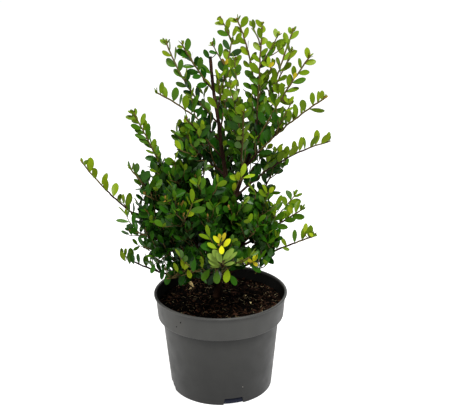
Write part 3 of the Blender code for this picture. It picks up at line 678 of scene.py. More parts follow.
class Look:
    """A material in the making: a Principled surface with procedural detail."""

    def __init__(self, name, colour, roughness, shine=0.5):
        self.material = bpy.data.materials.new(name)
        self.material.use_nodes = True
        self.material.diffuse_color = (*colour, 1)
        self.nodes = self.material.node_tree.nodes
        self.links = self.material.node_tree.links
        self.surface = self.nodes["Principled BSDF"].inputs
        self.surface["Base Color"].default_value = (*colour, 1)
        self.surface["Roughness"].default_value = roughness
        self.surface["Specular IOR Level"].default_value = shine

    def node(self, kind, values=(), sources=()):
        """A new node, with values and sources for its inputs, each as (name, thing)."""
        node = self.nodes.new("ShaderNode" + kind)
        for name, value in values:
            node.inputs[name].default_value = value
        for name, source in sources:
            self.links.new(source, node.inputs[name])
        return node

    def feed(self, name, source):
        """Joins a source to an input of the surface."""
        self.links.new(source, self.surface[name])

    def grain(self, scale, detail=3, stretch=(1, 1, 1)):
        """A noise texture in the object's own coordinates."""
        where = self.node("TexCoord").outputs["Object"]
        mapping = self.node("Mapping", [("Scale", stretch)], [("Vector", where)])
        values = ("Scale", scale), ("Detail", detail)
        texture = self.node("TexNoise", values, [("Vector", mapping.outputs["Vector"])])
        return texture.outputs["Fac"]

    def bump(self, height, strength, distance):
        """Gives the surface bump from a height."""
        values = ("Strength", strength), ("Distance", distance)
        self.feed("Normal", self.node("Bump", values, [("Height", height)]).outputs["Normal"])

    def ramp(self, factor, stops):
        """Colours spread along a factor: stops are (place, colour)."""
        node = self.node("ValToRGB", (), [("Fac", factor)])
        elements = node.color_ramp.elements
        while len(elements) < len(stops):
            elements.new(0.5)
        for element, (position, colour) in zip(elements, stops):
            element.position = position
            element.color = (*colour, 1)
        return node.outputs["Color"]

    def spread(self, factor, low, high):
        """A value between low and high as the factor goes from 0.3 to 0.7."""
        values = ("From Min", 0.3), ("From Max", 0.7), ("To Min", low), ("To Max", high)
        return self.node("MapRange", values, [("Value", factor)]).outputs["Result"]


def leaf_material(name, colour, roughness):
    """A leaf's waxy skin: a plain colour, with uneven gloss and a faint quilting."""
    young = colour[1] > YOUNG_GREEN
    look = Look(name, colour, roughness, YOUNG_SHINE if young else LEAF_SHINE)
    look.feed("Roughness", look.spread(look.grain(260), roughness - 0.08, roughness + 0.1))
    look.bump(look.grain(420, 2), 0.25, 0.3 * MM)
    return look.material


def twig_material(name, colour):
    """A twig's thin rind, finely creased along the twig."""
    look = Look(name, colour, 0.6, 0.06)
    look.bump(look.grain(900, 3, (1, 1, 0.3)), 0.4, 0.2 * MM)
    return look.material


def bark_material():
    """Thin brown bark with paler flecks and fine cracks along the stem."""
    look = Look("bark", BARK_TONE, 0.75, 0.06)
    patches = look.grain(120, 5, (1, 1, 0.45))
    look.feed("Base Color", look.ramp(patches, BARK_STOPS))
    look.feed("Roughness", look.spread(patches, 0.6, 0.85))
    look.bump(look.grain(700, 4, (1, 1, 0.2)), 0.6, 0.5 * MM)
    return look.material


def pot_material(name, share, shine):
    """Grey moulded plastic: satin and finely pitted, with painted shade that darkens the wall under the
    collar and towards the foot.
    """
    look = Look(name, POT_GREY, 0.5, shine)
    streaks = look.grain(24, 4, (1, 1, 0.25))
    stops = [(at, [part * share for part in colour]) for at, colour in POT_STOPS]
    colour = look.ramp(streaks, stops)
    where = look.node("TexCoord").outputs["Object"]
    split = look.node("SeparateXYZ", (), [("Vector", where)])
    rise = look.node("MapRange", [("From Max", POT_HEIGHT)], [("Value", split.outputs["Z"])])
    # Painted shade: the wall's colour is darkened by height, most just under the collar and at the foot
    stops = [(height * MM / POT_HEIGHT, (light,) * 3) for height, light in WALL_PAINTED_SHADE]
    painted_shade = look.ramp(rise.outputs["Result"], stops)
    mix = look.node("Mix")
    mix.data_type = "RGBA"
    mix.blend_type = "MULTIPLY"
    mix.inputs["Factor"].default_value = 1
    look.links.new(colour, mix.inputs["A"])
    look.links.new(painted_shade, mix.inputs["B"])
    look.feed("Base Color", mix.outputs["Result"])
    look.feed("Roughness", look.spread(look.grain(60, 4), 0.44, 0.56))
    look.bump(look.grain(1500, 2), 0.12, 0.1 * MM)
    return look.material


def soil_material(name, dark, light, roughness):
    """Moist potting mix, mottled from dark to light."""
    look = Look(name, dark, roughness, 0.02)
    look.feed("Base Color", look.ramp(look.grain(300, 6), ((0.38, dark), (0.68, light))))
    look.bump(look.grain(900, 5), 0.7, 0.6 * MM)
    return look.material


# Limbs

def bark_relief(centre, radial, radius):
    """How far the bark stands out: long ridges, and rings where leaves have been."""
    near = centre / MM + radial * radius / MM
    ridges = noise.noise(Vector((near.x * 0.9, near.y * 0.9, near.z * 0.12)))
    rough = noise.noise(near * 0.8)
    ring = max(0, math.sin(centre.z / (2.6 * MM) + 2 * radial.x)) ** 8
    return 0.10 * ridges + 0.06 * rough + 0.07 * ring


def build_limbs(bark):
    """The trunk with its flare and cut top, and the boughs, with the bark's relief."""
    leader = smooth_path([Vector(point) * MM for point in LEADER], LIMB_STEP)
    radii = []
    for point, share in zip(leader, np.linspace(1, 0, len(leader))):
        thicker = (TRUNK_FOOT_RADIUS - TRUNK_TIP_RADIUS) * share**TRUNK_THINNING
        flare = FLARE * math.exp(-(point.z - leader[0].z) / FLARE_HEIGHT)
        radii.append(TRUNK_TIP_RADIUS + thicker + flare)
    limbs = {"trunk": (leader, radii)}
    for name, foot, bearing, reach, height, bow, foot_radius, tip_radius in BOUGHS:
        start = at_height(leader, foot * MM)
        path = bowed_path(start, place(bearing, reach, height), bow, 0, LIMB_STEP)
        limbs["bough_" + name] = (path, tapers(path, foot_radius * MM, tip_radius * MM))
    boughs = [name for name in limbs if name != "trunk"]
    for piece, names in (("trunk_bark", ["trunk"]), ("bough_bark", boughs)):
        pile = Pile()
        for name in names:
            pile.add(*tube(*limbs[name], LIMB_SIDES, bark_relief), 0)
        declare(pile.build(piece, [bark]), "bark", *names)
    return limbs


# Foliage

Leaf = namedtuple("Leaf", "root along normal length width curl cup fold tone")


def leaf_outline(t):
    """Half of a leaf's width at t of its length, as a share of its greatest."""
    if t <= PETIOLE:
        return PETIOLE_WIDTH
    t = (t - PETIOLE) / (1 - PETIOLE)
    return max(TIP_WIDTH, (t / BEFORE_WIDEST) ** 0.75 * ((1 - t) / PAST_WIDEST) ** 0.57)


def leaf_grid():
    """A leaf's points as (along, across, half width, side), with faces for both sides."""
    rows = len(LEAF_STATIONS)
    columns = len(LEAF_ACROSS)
    points = []
    faces = []
    for side in (1, -1):
        base = len(points)
        for t in LEAF_STATIONS:
            for across in LEAF_ACROSS:
                points.append((t, across, leaf_outline(t), side))
        for row in range(rows - 1):
            for column in range(columns - 1):
                corner = base + row * columns + column
                face = (corner, corner + 1, corner + columns + 1, corner + columns)
                faces.append(face[::-side])
    return np.array(points), np.array(faces)


GRID_POINTS, GRID_FACES = leaf_grid()


def tone_slots(tone):
    """The materials of a leaf's upper side and underside, from a number or a name."""
    if isinstance(tone, str):
        return (TONE_NAMES.index(tone),) * 2
    upper = min(len(LEAF_TONES) - 1, int(max(0, tone) * len(LEAF_TONES)))
    return upper, TONE_NAMES.index("under_light" if tone > 0.5 else "under_dark")


def build_leaves(name, leaves, materials):
    """All leaves of a mass as one mesh: upper sides and paler undersides."""
    along, across, half, side = GRID_POINTS.T
    data = np.array([(leaf.length, leaf.width, leaf.curl, leaf.cup, leaf.fold) for leaf in leaves])
    length, width, curl, cup, fold = (column[:, None] for column in data.T)
    x = length * along * (1 - CURL_SHORTENS * np.abs(curl) * along)
    y = width / 2 * half * across
    z = width / 2 * half * (cup * across**2 + fold * np.abs(across))
    z = z - length * curl * along**2 + side * LEAF_THICKNESS / 2
    root, forward, normal = (
        np.array([getattr(leaf, part) for leaf in leaves]) for part in ("root", "along", "normal")
    )
    sideways = np.cross(normal, forward)
    points = root[:, None] + x[..., None] * forward[:, None]
    points += y[..., None] * sideways[:, None] + z[..., None] * normal[:, None]
    faces = GRID_FACES[None] + (np.arange(len(leaves)) * len(GRID_POINTS))[:, None, None]
    slots = np.repeat([tone_slots(leaf.tone) for leaf in leaves], len(GRID_FACES) // 2, axis=1)
    pile = Pile()
    pile.add(points.reshape(-1, 3), faces.reshape(-1, 4), slots.ravel())
    return pile.build(name, materials)


class Room:
    """Says where a mass may grow: in its own space, clear of limbs, pot and soil."""

    def __init__(self, stems, limbs):
        self.leaves = {}
        self.watch(limbs)
        samples = [[point for path in paths for point in sampled(path, STEM_STEP)] for paths in stems]
        self.own = [self.tree(points) for points in samples]
        self.all = self.tree([point for points in samples for point in points])
        limb_points = []
        self.limb_radii = []
        for path, radii in limbs.values():
            limb_points += path[::2]
            self.limb_radii += radii[::2]
        self.limbs = self.tree(limb_points)

    @staticmethod
    def tree(points):
        """A search tree over points."""
        tree = KDTree(len(points))
        for index, point in enumerate(points):
            tree.insert(point, index)
        tree.balance()
        return tree

    def free(self, point, owner, margin=0.0):
        """True where a twig or a leaf of this mass may reach the point."""
        mine = self.own[owner].find(point)[2]
        if mine > self.all.find(point)[2] + STRAY:
            return False
        _, index, far = self.limbs.find(point)
        if far < self.limb_radii[index] + margin:
            return False
        inner, outer = WALL_SPACE
        in_wall = point.z < POT_HEIGHT + CLEARANCE and inner < math.hypot(point.x, point.y) < outer
        in_soil = point.z < SOIL_TOP + CLEARANCE
        outside = any(at < low or at > high for at, low, high in zip(point, *SOLID_BOX))
        return not (in_wall or in_soil or outside or self.in_lane(point))

    def watch(self, limbs):
        """Notes the places that nothing may hide from the front."""
        marks = []
        for name, low, high, margin in SEEN:
            for point in limbs[name][0][::2]:
                if low * MM < point.z < high * MM:
                    marks.append((point, margin * MM))
        for leaves in LONE_LEAVES.values():
            for _, _, root, tip in leaves:
                middle = (Vector(root) + Vector(tip)) / 2 * MM
                marks.append((middle, LONE_MARGIN))
                self.take(middle)
        rays = np.array([point - Vector(CAMERA_PLACE) for point, _ in marks])
        self.far = np.linalg.norm(rays, axis=1)
        self.rays = rays / self.far[:, None]
        self.margins = np.array([margin for _, margin in marks])

    def hides(self, point):
        """True where a leaf would stand in front of a limb or a leaf that shows."""
        ray = np.array(point - Vector(CAMERA_PLACE))
        along = self.rays @ ray
        aside = np.sqrt(np.maximum(0, ray @ ray - along**2))
        return bool(np.any((aside < self.margins) & (along < self.far - SIGHT_DEPTH)))

    @staticmethod
    def in_lane(point):
        """True where the point is in one of the open lanes."""
        for x, z, radius in LANES:
            through = Vector((x * MM, LANE_Y, z * MM))
            along = (through - Vector(CAMERA_PLACE)).normalized()
            offset = point - through
            if (offset - along * offset.dot(along)).length < radius * MM:
                return True
        return False

    def take(self, point):
        """True where no other leaf's middle is too near, and then holds the place."""
        cell = tuple(int(c // LEAF_SPACE) for c in point)
        for near in itertools.product(*[(c - 1, c, c + 1) for c in cell]):
            if any((other - point).length < LEAF_SPACE for other in self.leaves.get(near, ())):
                return False
        self.leaves.setdefault(cell, []).append(point)
        return True


class Grower:
    """Grows the twigs and leaves of one mass by the rule."""

    def __init__(self, owner, mass, room):
        self.owner = owner
        self.room = room
        self.few = self.open = mass.twigs <= OPEN_ARM
        self.size = SMALL_LEAVED.get(mass.name, 1)
        self.pitch = OWN_PITCH.get(mass.name, 0) * MM
        self.arm_pitch = ARM_PITCH.get(mass.name, FLAT_LEAF_PITCH) * MM
        self.twig_end = BARE_TIP.get(mass.name, TWIG_END)
        self.chance = random.Random(FIRST_SEED + owner)
        self.turn = self.chance.uniform(0, math.tau)
        self.leaves = []
        self.twigs = Pile()

    def wandering(self, path):
        """The path with a slight wander, as twigs have."""
        fine = sampled(path, STEM_STEP)
        for index in range(1, len(fine) - 1):
            fine[index] += self.jitter(1) * WANDER * WANDER_SHARE
        return fine

    def outward(self, direction, angle, lift):
        """The next direction of the spiral out of a shoot."""
        self.turn += SPREAD_TURN
        side = direction.orthogonal().normalized()
        radial = Matrix.Rotation(self.turn, 3, direction) @ side
        if abs(direction.z) < FLAT_SHOOT and radial.z < 0:
            if self.open or self.chance.random() > DROOP_CHANCE:
                radial.negate()
        away = direction * math.cos(angle) + radial * math.sin(angle) + UP * lift
        return away.normalized()

    def jitter(self, amount):
        """A small random vector."""
        return Vector([self.chance.gauss(0, amount) for _ in range(3)])

    def facing(self, path):
        """The side of a shoot that shows its leaves: outward and up, to the front or back."""
        front = -1 if path[-1].y < FRONT_REACH or self.chance.random() < 0.3 else 1
        way = Vector((3 * path[-1].x, front, 0.45)) + self.jitter(0.45)
        return square_to(way, (path[-1] - path[0]).normalized())

    def tone(self, point, base):
        """A leaf's tone: painted light makes it lighter high up and on the right, and far out it is lighter
        as younger growth that also gets painted light.
        """
        if isinstance(base, str):
            return base
        height = climb(point, *TONE_CLIMB)
        far = min(1, math.hypot(point.x, point.y) / TONE_REACH)
        arm = ARM_TONE * (1 - height) if self.few else 0
        shade = base + (1 - self.size) * SMALL_LIGHTER + HIGH_PAINTED_LIGHT * height + FAR_YOUTH_AND_PAINTED_LIGHT * far
        shade += RIGHT_PAINTED_LIGHT * (point.x > 0) + TONE_SHIFT + arm * far
        low, gain = LIGHTEST
        return min(low + gain * height + arm, shade + self.chance.gauss(0, TONE_SCATTER))

    def add_leaf(self, root, away, face, size, base, close=False):
        """One leaf, if its middle and its tip have room; a close one may be near others."""
        length = LEAF_LENGTH * self.size * size * self.chance.uniform(*LEAF_LENGTHS)
        tip = root + away * length
        middle = root.lerp(tip, LEAF_MIDDLE)
        if not self.room.free(tip, self.owner) or not self.room.free(middle, self.owner, MM):
            return False
        if any(self.room.hides(root.lerp(tip, share)) for share in SIGHT_SHARES):
            return False
        if not close and not self.room.take(middle):
            return False
        normal = square_to(face + self.jitter(FACE_SCATTER), away)
        if normal.dot(away.cross(away.cross(UP))) > 0.9:
            normal.negate()
        rise = climb(root, *SIZE_CLIMB) if self.size == 1 else 0
        length *= 1 - (1 - TOP_LEAF_SIZE) * rise
        share = LEAF_WIDTH + (TOP_LEAF_WIDTH - LEAF_WIDTH) * rise
        width = length * share * self.chance.uniform(*LEAF_WIDTHS)
        curl = self.chance.uniform(*CURL)
        cup = self.chance.uniform(*CUP)
        fold = self.chance.uniform(*FOLD)
        self.leaves.append(Leaf(root, away, normal, length, width, curl, cup, fold, self.tone(root, base)))
        return True

    def add_lone_leaves(self, leaves, paths):
        """The leaves that stand out, each on a thin twig from the nearest stem."""
        points = [point for path in paths for point in sampled(path, 2 * MM)]
        for tone, width, root, tip in leaves:
            root, tip = Vector(root) * MM, Vector(tip) * MM
            start = min(points, key=lambda point: (point - root).length)
            if (start - root).length > MM:
                twig = bowed_path(start, root, -1, 0, 3 * MM)
                self.twigs.add(*tube(twig, tapers(twig, *LONE_TWIG_RADII), FINE_SIDES), 1)
            away = (tip - root).normalized()
            normal = square_to((Vector(CAMERA_PLACE) - root).normalized() + self.jitter(0.3), away)
            length = (tip - root).length
            self.leaves.append(Leaf(root, away, normal, length, width * MM, 0.05, 0, 0.2, tone))

    def add_leaves(self, path, base_tone, tip_tone, size):
        """Leaves in two loose ranks along a shoot; on a flat arm they stand up."""
        total = lengths(path)[-1]
        face = self.facing(path)
        flat = abs((path[-1] - path[0]).normalized().z) < FLAT_SHOOT
        pitch = OPEN_LEAF_PITCH if self.open else LEAF_PITCH
        if self.pitch:
            flat, pitch = False, self.pitch
        elif flat and self.few:
            pitch = self.arm_pitch
        count = max(1, int(total * (1 - BARE) / pitch))
        for step in range(count):
            share = BARE + (1 - BARE) * (step + 0.5) / count
            point, direction = at_share(path, share)
            grown = min(1, 0.74 + 0.26 * (1 - share) * total / (14 * MM))
            tone = base_tone + (tip_tone - base_tone) * share**1.6
            for _ in range(TRIES):
                across = direction.cross(face) * (1 if step % 2 else -1)
                radial = Matrix.Rotation(self.chance.gauss(0, RANK_SCATTER), 3, direction) @ across
                angle = LEAF_ANGLE * self.chance.uniform(*LEAF_ANGLES)
                if flat:
                    below = self.chance.random() < BELOW_CHANCE
                    radial = square_to(radial * 0.5 + (-0.5 * UP if below else UP), direction)
                    angle = FLAT_LEAF_ANGLE * self.chance.uniform(*FLAT_LEAF_ANGLES)
                away = (direction * math.cos(angle) + radial * math.sin(angle)).normalized()
                if self.add_leaf(point, away, face + direction * 0.25, size * grown, tone):
                    break

    def add_tuft(self, path, main, tone):
        """The small new leaves at a shoot's end, with a bud on a main shoot."""
        tip, direction = at_share(path, 1)
        for step in range(TUFT_LEAVES if main else TWIG_END_LEAVES):
            angle = math.radians(self.chance.uniform(*TUFT_ANGLES))
            away = self.outward(direction, angle, 0.1)
            bronze = main and step < BRONZE_LEAVES
            size = self.chance.uniform(*(BRONZE_SIZES if bronze else TUFT_SIZES))
            if not main:
                size += TWIG_END_LARGER
            root = tip - direction * step * 0.5 * MM
            self.add_leaf(root, away, direction + UP * 0.5, size, "bronze" if bronze else tone, main)
        if main:
            bud = [tip + direction * far * MM for far, _ in BUD]
            self.twigs.add(*tube(bud, [radius * MM for _, radius in BUD], FINE_SIDES), 2)

    def add_shoot(self, path, radii, order, base_tone):
        """A shoot with its side twigs, leaves and tuft; a twig that stays bare is left out."""
        fine = self.wandering(path)
        tip_tone = base_tone + TIP_LIGHTER
        before = len(self.leaves)
        if order < 2:
            self.add_side_twigs(fine, order, base_tone)
        self.add_tuft(fine, order == 0, tip_tone)
        self.add_leaves(fine, base_tone, tip_tone, 1 - 0.06 * order)
        if order > 0 and len(self.leaves) < before + FEWEST_LEAVES:
            del self.leaves[before:]
            return
        points, faces = tube(fine, tapers(fine, *radii), TUBE_SIDES)
        young = YOUNG_SHARE if path[-1].z > OPEN_HEIGHT else LOW_YOUNG_SHARE
        old = 0 if order else len(faces) * (1 - young)
        self.twigs.add(points, faces, [0 if face < old else 1 for face in range(len(faces))])

    def add_side_twigs(self, path, order, base_tone):
        """Side twigs in a spiral: longest low on the stem, and none on an open arm's tip."""
        total = lengths(path)[-1]
        if order == 0:
            spacing, end = (ARM_TWIG_SPACING, ARM_TWIG_END) if self.open else (TWIG_SPACING, self.twig_end)
            longest, radii = TWIG_LENGTH, TWIG_RADII
        elif self.open or total < TWIGLET_BEARER:
            return
        else:
            spacing, end, longest, radii = TWIGLET_SPACING, TWIG_END, TWIGLET_LENGTH, TWIGLET_RADII
        count = int(total * end / spacing)
        for step in range(count):
            share = TWIG_START + (end - TWIG_START) * (step + 0.5) / count
            start, direction = at_share(path, share)
            length = longest * (1.1 - 0.55 * share) * self.chance.uniform(*TWIG_LENGTHS)
            if self.open:
                length *= OPEN_TWIG_LENGTH
            for _ in range(TRIES):
                tip = start + self.outward(direction, TWIG_ANGLE, TWIG_LIFT) * length
                middle = start.lerp(tip, 0.5)
                if self.room.free(tip, self.owner, MM) and self.room.free(middle, self.owner, MM):
                    twig = bowed_path(start, tip, TWIG_BOW, 0, TWIG_STEP)
                    self.add_shoot(twig, radii, order + 1, base_tone + TWIG_LIGHTER * share)
                    break


def mass_paths(mass, limbs):
    """The paths of a mass's stem and of its own side shoots."""
    start = at_height(limbs[mass.limb][0], mass.foot * MM)
    tip = place(mass.bearing, mass.reach, mass.height)
    paths = [bowed_path(start, tip, mass.bow, mass.swing, STEM_STEP)]
    for along, *spot in mass.shoots:
        paths.append(bowed_path(at_share(paths[0], along)[0], place(*spot), 0, 0, STEM_STEP))
    return [cut_short(path, TUFT_REST) for path in paths]


def cut_short(path, rest):
    """The path without its last stretch, which the tuft takes."""
    keep = 1 - rest / lengths(path)[-1]
    count = len(path) - 1
    return [at_share(path, keep * step / count)[0] for step in range(count + 1)]


def build_foliage(limbs):
    """Every mass of foliage: one piece of leaves and one of twigs each."""
    tones = [(*tone, LEAF_ROUGHNESS) for tone in LEAF_TONES + SPECIAL_TONES]
    tones += [(*tone, UNDER_ROUGHNESS) for tone in UNDER_TONES]
    leaf_shaders = [leaf_material("leaf_" + name, colour, rough) for name, colour, rough in tones]
    twig_shaders = [twig_material(name, colour) for name, colour in TWIG_TONES]
    stems = [mass_paths(mass, limbs) for mass in MASSES]
    room = Room(stems, limbs)
    growers = []
    for owner, (mass, paths) in enumerate(zip(MASSES, stems)):
        grower = Grower(owner, mass, room)
        for index, path in enumerate(paths):
            high = path[-1].z > OPEN_HEIGHT
            grower.few = mass.twigs <= OPEN_ARM and not (index > 0 and mass.name in DENSE_SHOOTS)
            grower.open = grower.few or high
            stem_radii = HIGH_STEM_RADII if high else STEM_RADII
            grower.add_shoot(path, SHOOT_RADII if index else stem_radii, 0, INNER_TONE)
        grower.add_lone_leaves(LONE_LEAVES.get(mass.name, ()), paths)
        growers.append(grower)
    shade_by_depth(growers)
    for mass, grower in zip(MASSES, growers):
        node = "leaves_" + mass.name
        declare(build_leaves(node + "_fine", grower.leaves, leaf_shaders), "foliage", node)
        declare(grower.twigs.build(node + "_twigs", twig_shaders), "bark")


def middle_of(leaf):
    """The middle of a leaf."""
    return leaf.root + leaf.along * leaf.length / 2


def shade_by_depth(growers):
    """Darkens the leaves that have many others outside and above them."""
    tree = Room.tree([middle_of(leaf) for grower in growers for leaf in grower.leaves])
    for grower in growers:
        for index, leaf in enumerate(grower.leaves):
            if isinstance(leaf.tone, str):
                continue
            middle = middle_of(leaf)
            out = Vector((middle.x, middle.y, 0)).normalized()
            probe = middle + (out + UP) * 0.7 * DEPTH_REACH
            depth = min(1, len(tree.find_range(probe, DEPTH_RADIUS)) / DEPTH_LEAVES)
            grower.leaves[index] = leaf._replace(tone=max(0, leaf.tone - DEPTH_SHADE * depth))


# Pot

def arc(centre, radius, start, end, steps):
    """Profile points on a round arc or an ellipse's, angles in degrees from outward."""
    points = []
    for step in range(steps + 1):
        turn = math.radians(start + (end - start) * step / steps)
        across = centre[0] + radius[0] * math.cos(turn)
        points.append((across, centre[1] + radius[1] * math.sin(turn)))
    return points


def side_profile(inset):
    """The pot's side from the edge of the foot up to the lip, moved inward by inset."""
    slope = (WALL_TOP_RADIUS - FOOT_RADIUS) / COLLAR_FOOT
    foot_centre = (FOOT_RADIUS - FOOT_ROUND * (1 - slope), FOOT_ROUND)
    foot_round = FOOT_ROUND - inset
    collar_centre = (COLLAR_FOOT_RADIUS - COLLAR_ROUND, COLLAR_FOOT + COLLAR_ROUND)
    collar_round = COLLAR_ROUND - inset
    return (
        arc(foot_centre, (foot_round, foot_round), -90, 0, ROUND_STEPS)
        + [(WALL_TOP_RADIUS - inset, COLLAR_FOOT + inset)]
        + arc(collar_centre, (collar_round, collar_round), -90, 0, ROUND_STEPS)
        + [(COLLAR_TOP_RADIUS - inset, POT_HEIGHT - LIP_HEIGHT)]
    )


def wall_radius(height):
    """The pot's outer radius at a height, away from its rounds."""
    if height > COLLAR_FOOT:
        share = (height - COLLAR_FOOT) / (POT_HEIGHT - COLLAR_FOOT)
        return COLLAR_FOOT_RADIUS + share * (COLLAR_TOP_RADIUS - COLLAR_FOOT_RADIUS)
    return FOOT_RADIUS + height / COLLAR_FOOT * (WALL_TOP_RADIUS - FOOT_RADIUS)


def turned(name, profile):
    """A mesh object turned about Z from a profile."""
    angles = np.arange(POT_STEPS) * math.tau / POT_STEPS
    rings = np.array(profile)
    points = np.empty((len(profile), POT_STEPS, 3))
    points[..., 0] = rings[:, :1] * np.cos(angles)
    points[..., 1] = rings[:, :1] * np.sin(angles)
    points[..., 2] = rings[:, 1:]
    pile = Pile()
    pile.add(points.reshape(-1, 3), ring_faces(len(profile), POT_STEPS), 0)
    return pile.build(name, [])


def cut_notch(pot, bearing):
    """Cuts a drain notch, narrower at its top, out of the pot's foot."""
    mesh = bpy.data.meshes.new("notch")
    shape = bmesh.new()
    bmesh.ops.create_cube(shape, size=1.0)
    for corner in shape.verts:
        if corner.co.z > 0:
            corner.co.x *= NOTCH_TOP_SHARE
    shape.transform(Matrix.Diagonal((NOTCH_WIDTH, 2 * NOTCH_DEPTH, 2 * NOTCH_HEIGHT, 1)))
    turn = Matrix.Rotation(math.radians(bearing), 4, "Z")
    shape.transform(Matrix.Translation(place(bearing, FOOT_RADIUS / MM, 0)) @ turn)
    shape.to_mesh(mesh)
    shape.free()
    notch = new_object("notch", mesh)
    cut = pot.modifiers.new("notch", "BOOLEAN")
    cut.operation = "DIFFERENCE"
    cut.object = notch
    bpy.context.view_layer.update()
    evaluated = pot.evaluated_get(bpy.context.evaluated_depsgraph_get())
    pot.data = bpy.data.meshes.new_from_object(evaluated)
    pot.modifiers.clear()
    bpy.data.objects.remove(notch)


def build_pot():
    """The pot with fine rounds, its lip, its crease and the notches at its foot."""
    lip_width = (RIM_RADIUS - COLLAR_TOP_RADIUS + WALL) / 2
    lip_centre = (RIM_RADIUS - lip_width, POT_HEIGHT - LIP_HEIGHT / 2)
    lip = arc(lip_centre, (lip_width, LIP_HEIGHT / 2), *LIP_TURN, LIP_STEPS)
    profile = [(TINY, 0)] + side_profile(0) + lip + side_profile(WALL)[::-1] + [(TINY, WALL)]
    pot = turned("pot_fine", profile)
    shape = bmesh.new()
    shape.from_mesh(pot.data)
    bmesh.ops.holes_fill(shape, edges=shape.edges, sides=POT_STEPS)
    bmesh.ops.recalc_face_normals(shape, faces=shape.faces)
    shape.to_mesh(pot.data)
    shape.free()
    for step in range(NOTCH_COUNT):
        cut_notch(pot, NOTCH_BEARING + step * 360 / NOTCH_COUNT)
    pot.data.materials.clear()
    pot.data.materials.append(pot_material("pot_plastic", 1, 0.3))
    # The inside of the pot is the same plastic at a quarter of its colour: painted shade
    pot.data.materials.append(pot_material("pot_inside_shaded", 0.25, 0.12))
    for face in pot.data.polygons:
        inward = -face.normal.dot(Vector((face.center.x, face.center.y, 0)).normalized())
        inside = 2 * NOTCH_HEIGHT < face.center.z < POT_HEIGHT - LIP_HEIGHT
        face.material_index = 1 if inside and inward > 0.5 else 0
    pot.data.set_sharp_from_angle(angle=SHARP_EDGE)
    declare(pot, "pot_plastic", "pot")


def build_recess():
    """The thin inner band that closes the notches, just inside the wall, in a dark blue-grey that paints
    the shade inside the pot.
    """
    profile = []
    for height, depth in RECESS:
        profile.append((wall_radius(height * MM) - WALL - depth * MM, height * MM))
    recess = turned("pot_recess", profile)
    look = Look("pot_recess", RECESS_PAINTED_SHADE, 0.5, 0.1)
    look.bump(look.grain(1500, 2), 0.12, 0.1 * MM)
    recess.data.materials.append(look.material)
    declare(recess, "pot_plastic")


def build_specks():
    """Small crumbs of the medium that stick to the pot's skin."""
    shapes = lump_shapes(random.Random(SPECK_SEED), len(POT_SPECKS))
    pile = Pile()
    for (bearing, height, long, lean), (points, faces) in zip(POT_SPECKS, shapes):
        where = place(bearing, wall_radius(height * MM) / MM, height)
        turn = Matrix.Rotation(math.radians(bearing), 3, "Z") @ Matrix.Rotation(math.radians(lean), 3, "Y")
        sized = points * np.array((0.3, 0.2, 0.5)) * long * MM
        pile.add(sized @ np.array(turn).T + np.array(where), faces, 0 if height > 100 else 1)
    declare(pile.build("pot_specks", [soil_material(*tone) for tone in SPECK_TONES]), "pot_plastic")


# Growing medium

def ground(x, y):
    """The height of the medium's surface, with its lumps and grain."""
    radius = math.hypot(x, y)
    share = max(0, (radius - SOIL_LEVEL_RADIUS) / (SOIL_EDGE_RADIUS - SOIL_LEVEL_RADIUS))
    height = SOIL_TOP + share * share * (SOIL_EDGE - SOIL_TOP)
    lumps = noise.noise(Vector((x, y, 0)) / LUMP_SIZE)
    grain = noise.noise(Vector((x, y, 0.4)) / GRAIN_SIZE)
    flat = min(1, radius / (12 * MM))
    return height + flat * (LUMP_HEIGHT * lumps + GRAIN_HEIGHT * grain)


def strewn(chance, reach=0.985):
    """A random place on the medium's surface."""
    radius = SOIL_EDGE_RADIUS * math.sqrt(chance.random()) * reach
    turn = chance.uniform(0, math.tau)
    x, y = radius * math.cos(turn), radius * math.sin(turn)
    return Vector((x, y, ground(x, y)))


def build_ground():
    """The medium's body: an uneven top on the sides that the pot holds."""
    top = [(max(SOIL_MIDDLE, SOIL_EDGE_RADIUS * ring / SOIL_RINGS), None) for ring in range(SOIL_RINGS + 1)]
    inset = WALL + SOIL_GAP
    side = [point for point in side_profile(inset)[::-1] if point[1] < SOIL_SIDE_TOP]
    rings = top + side + [(SOIL_MIDDLE, inset)]
    points = []
    for radius, height in rings:
        for turn in np.arange(SOIL_SECTORS) * math.tau / SOIL_SECTORS:
            x, y = radius * math.cos(turn), radius * math.sin(turn)
            points.append((x, y, ground(x, y) if height is None else height))
    faces = np.array(ring_faces(len(rings), SOIL_SECTORS))[:, [0, 3, 2, 1]]
    pile = Pile()
    pile.add(points, faces, 0)
    return pile.build("soil_body", [soil_material(*SOIL_TONE)])


def lump_shapes(chance, count):
    """A few uneven round crumbs, as points and faces."""
    shapes = []
    for _ in range(count):
        shape = bmesh.new()
        bmesh.ops.create_icosphere(shape, subdivisions=1, radius=1.0)
        shift = Vector([chance.uniform(0, 50) for _ in range(3)])
        for corner in shape.verts:
            corner.co *= 1 + 0.45 * noise.noise(corner.co * 1.4 + shift)
        shape.verts.index_update()
        points = np.array([corner.co for corner in shape.verts])
        faces = np.array([[corner.index for corner in face.verts] for face in shape.faces])
        shape.free()
        shapes.append((points, faces))
    return shapes


def turned_shape(points, where, size, chance, tilt):
    """A crumb's points, scaled, turned and put in place."""
    turn = Matrix.Rotation(chance.uniform(0, math.tau), 3, "Z")
    turning = np.array(turn @ Matrix.Rotation(chance.gauss(0, tilt), 3, "X"))
    return (points * np.array(size)) @ turning.T + np.array(where)


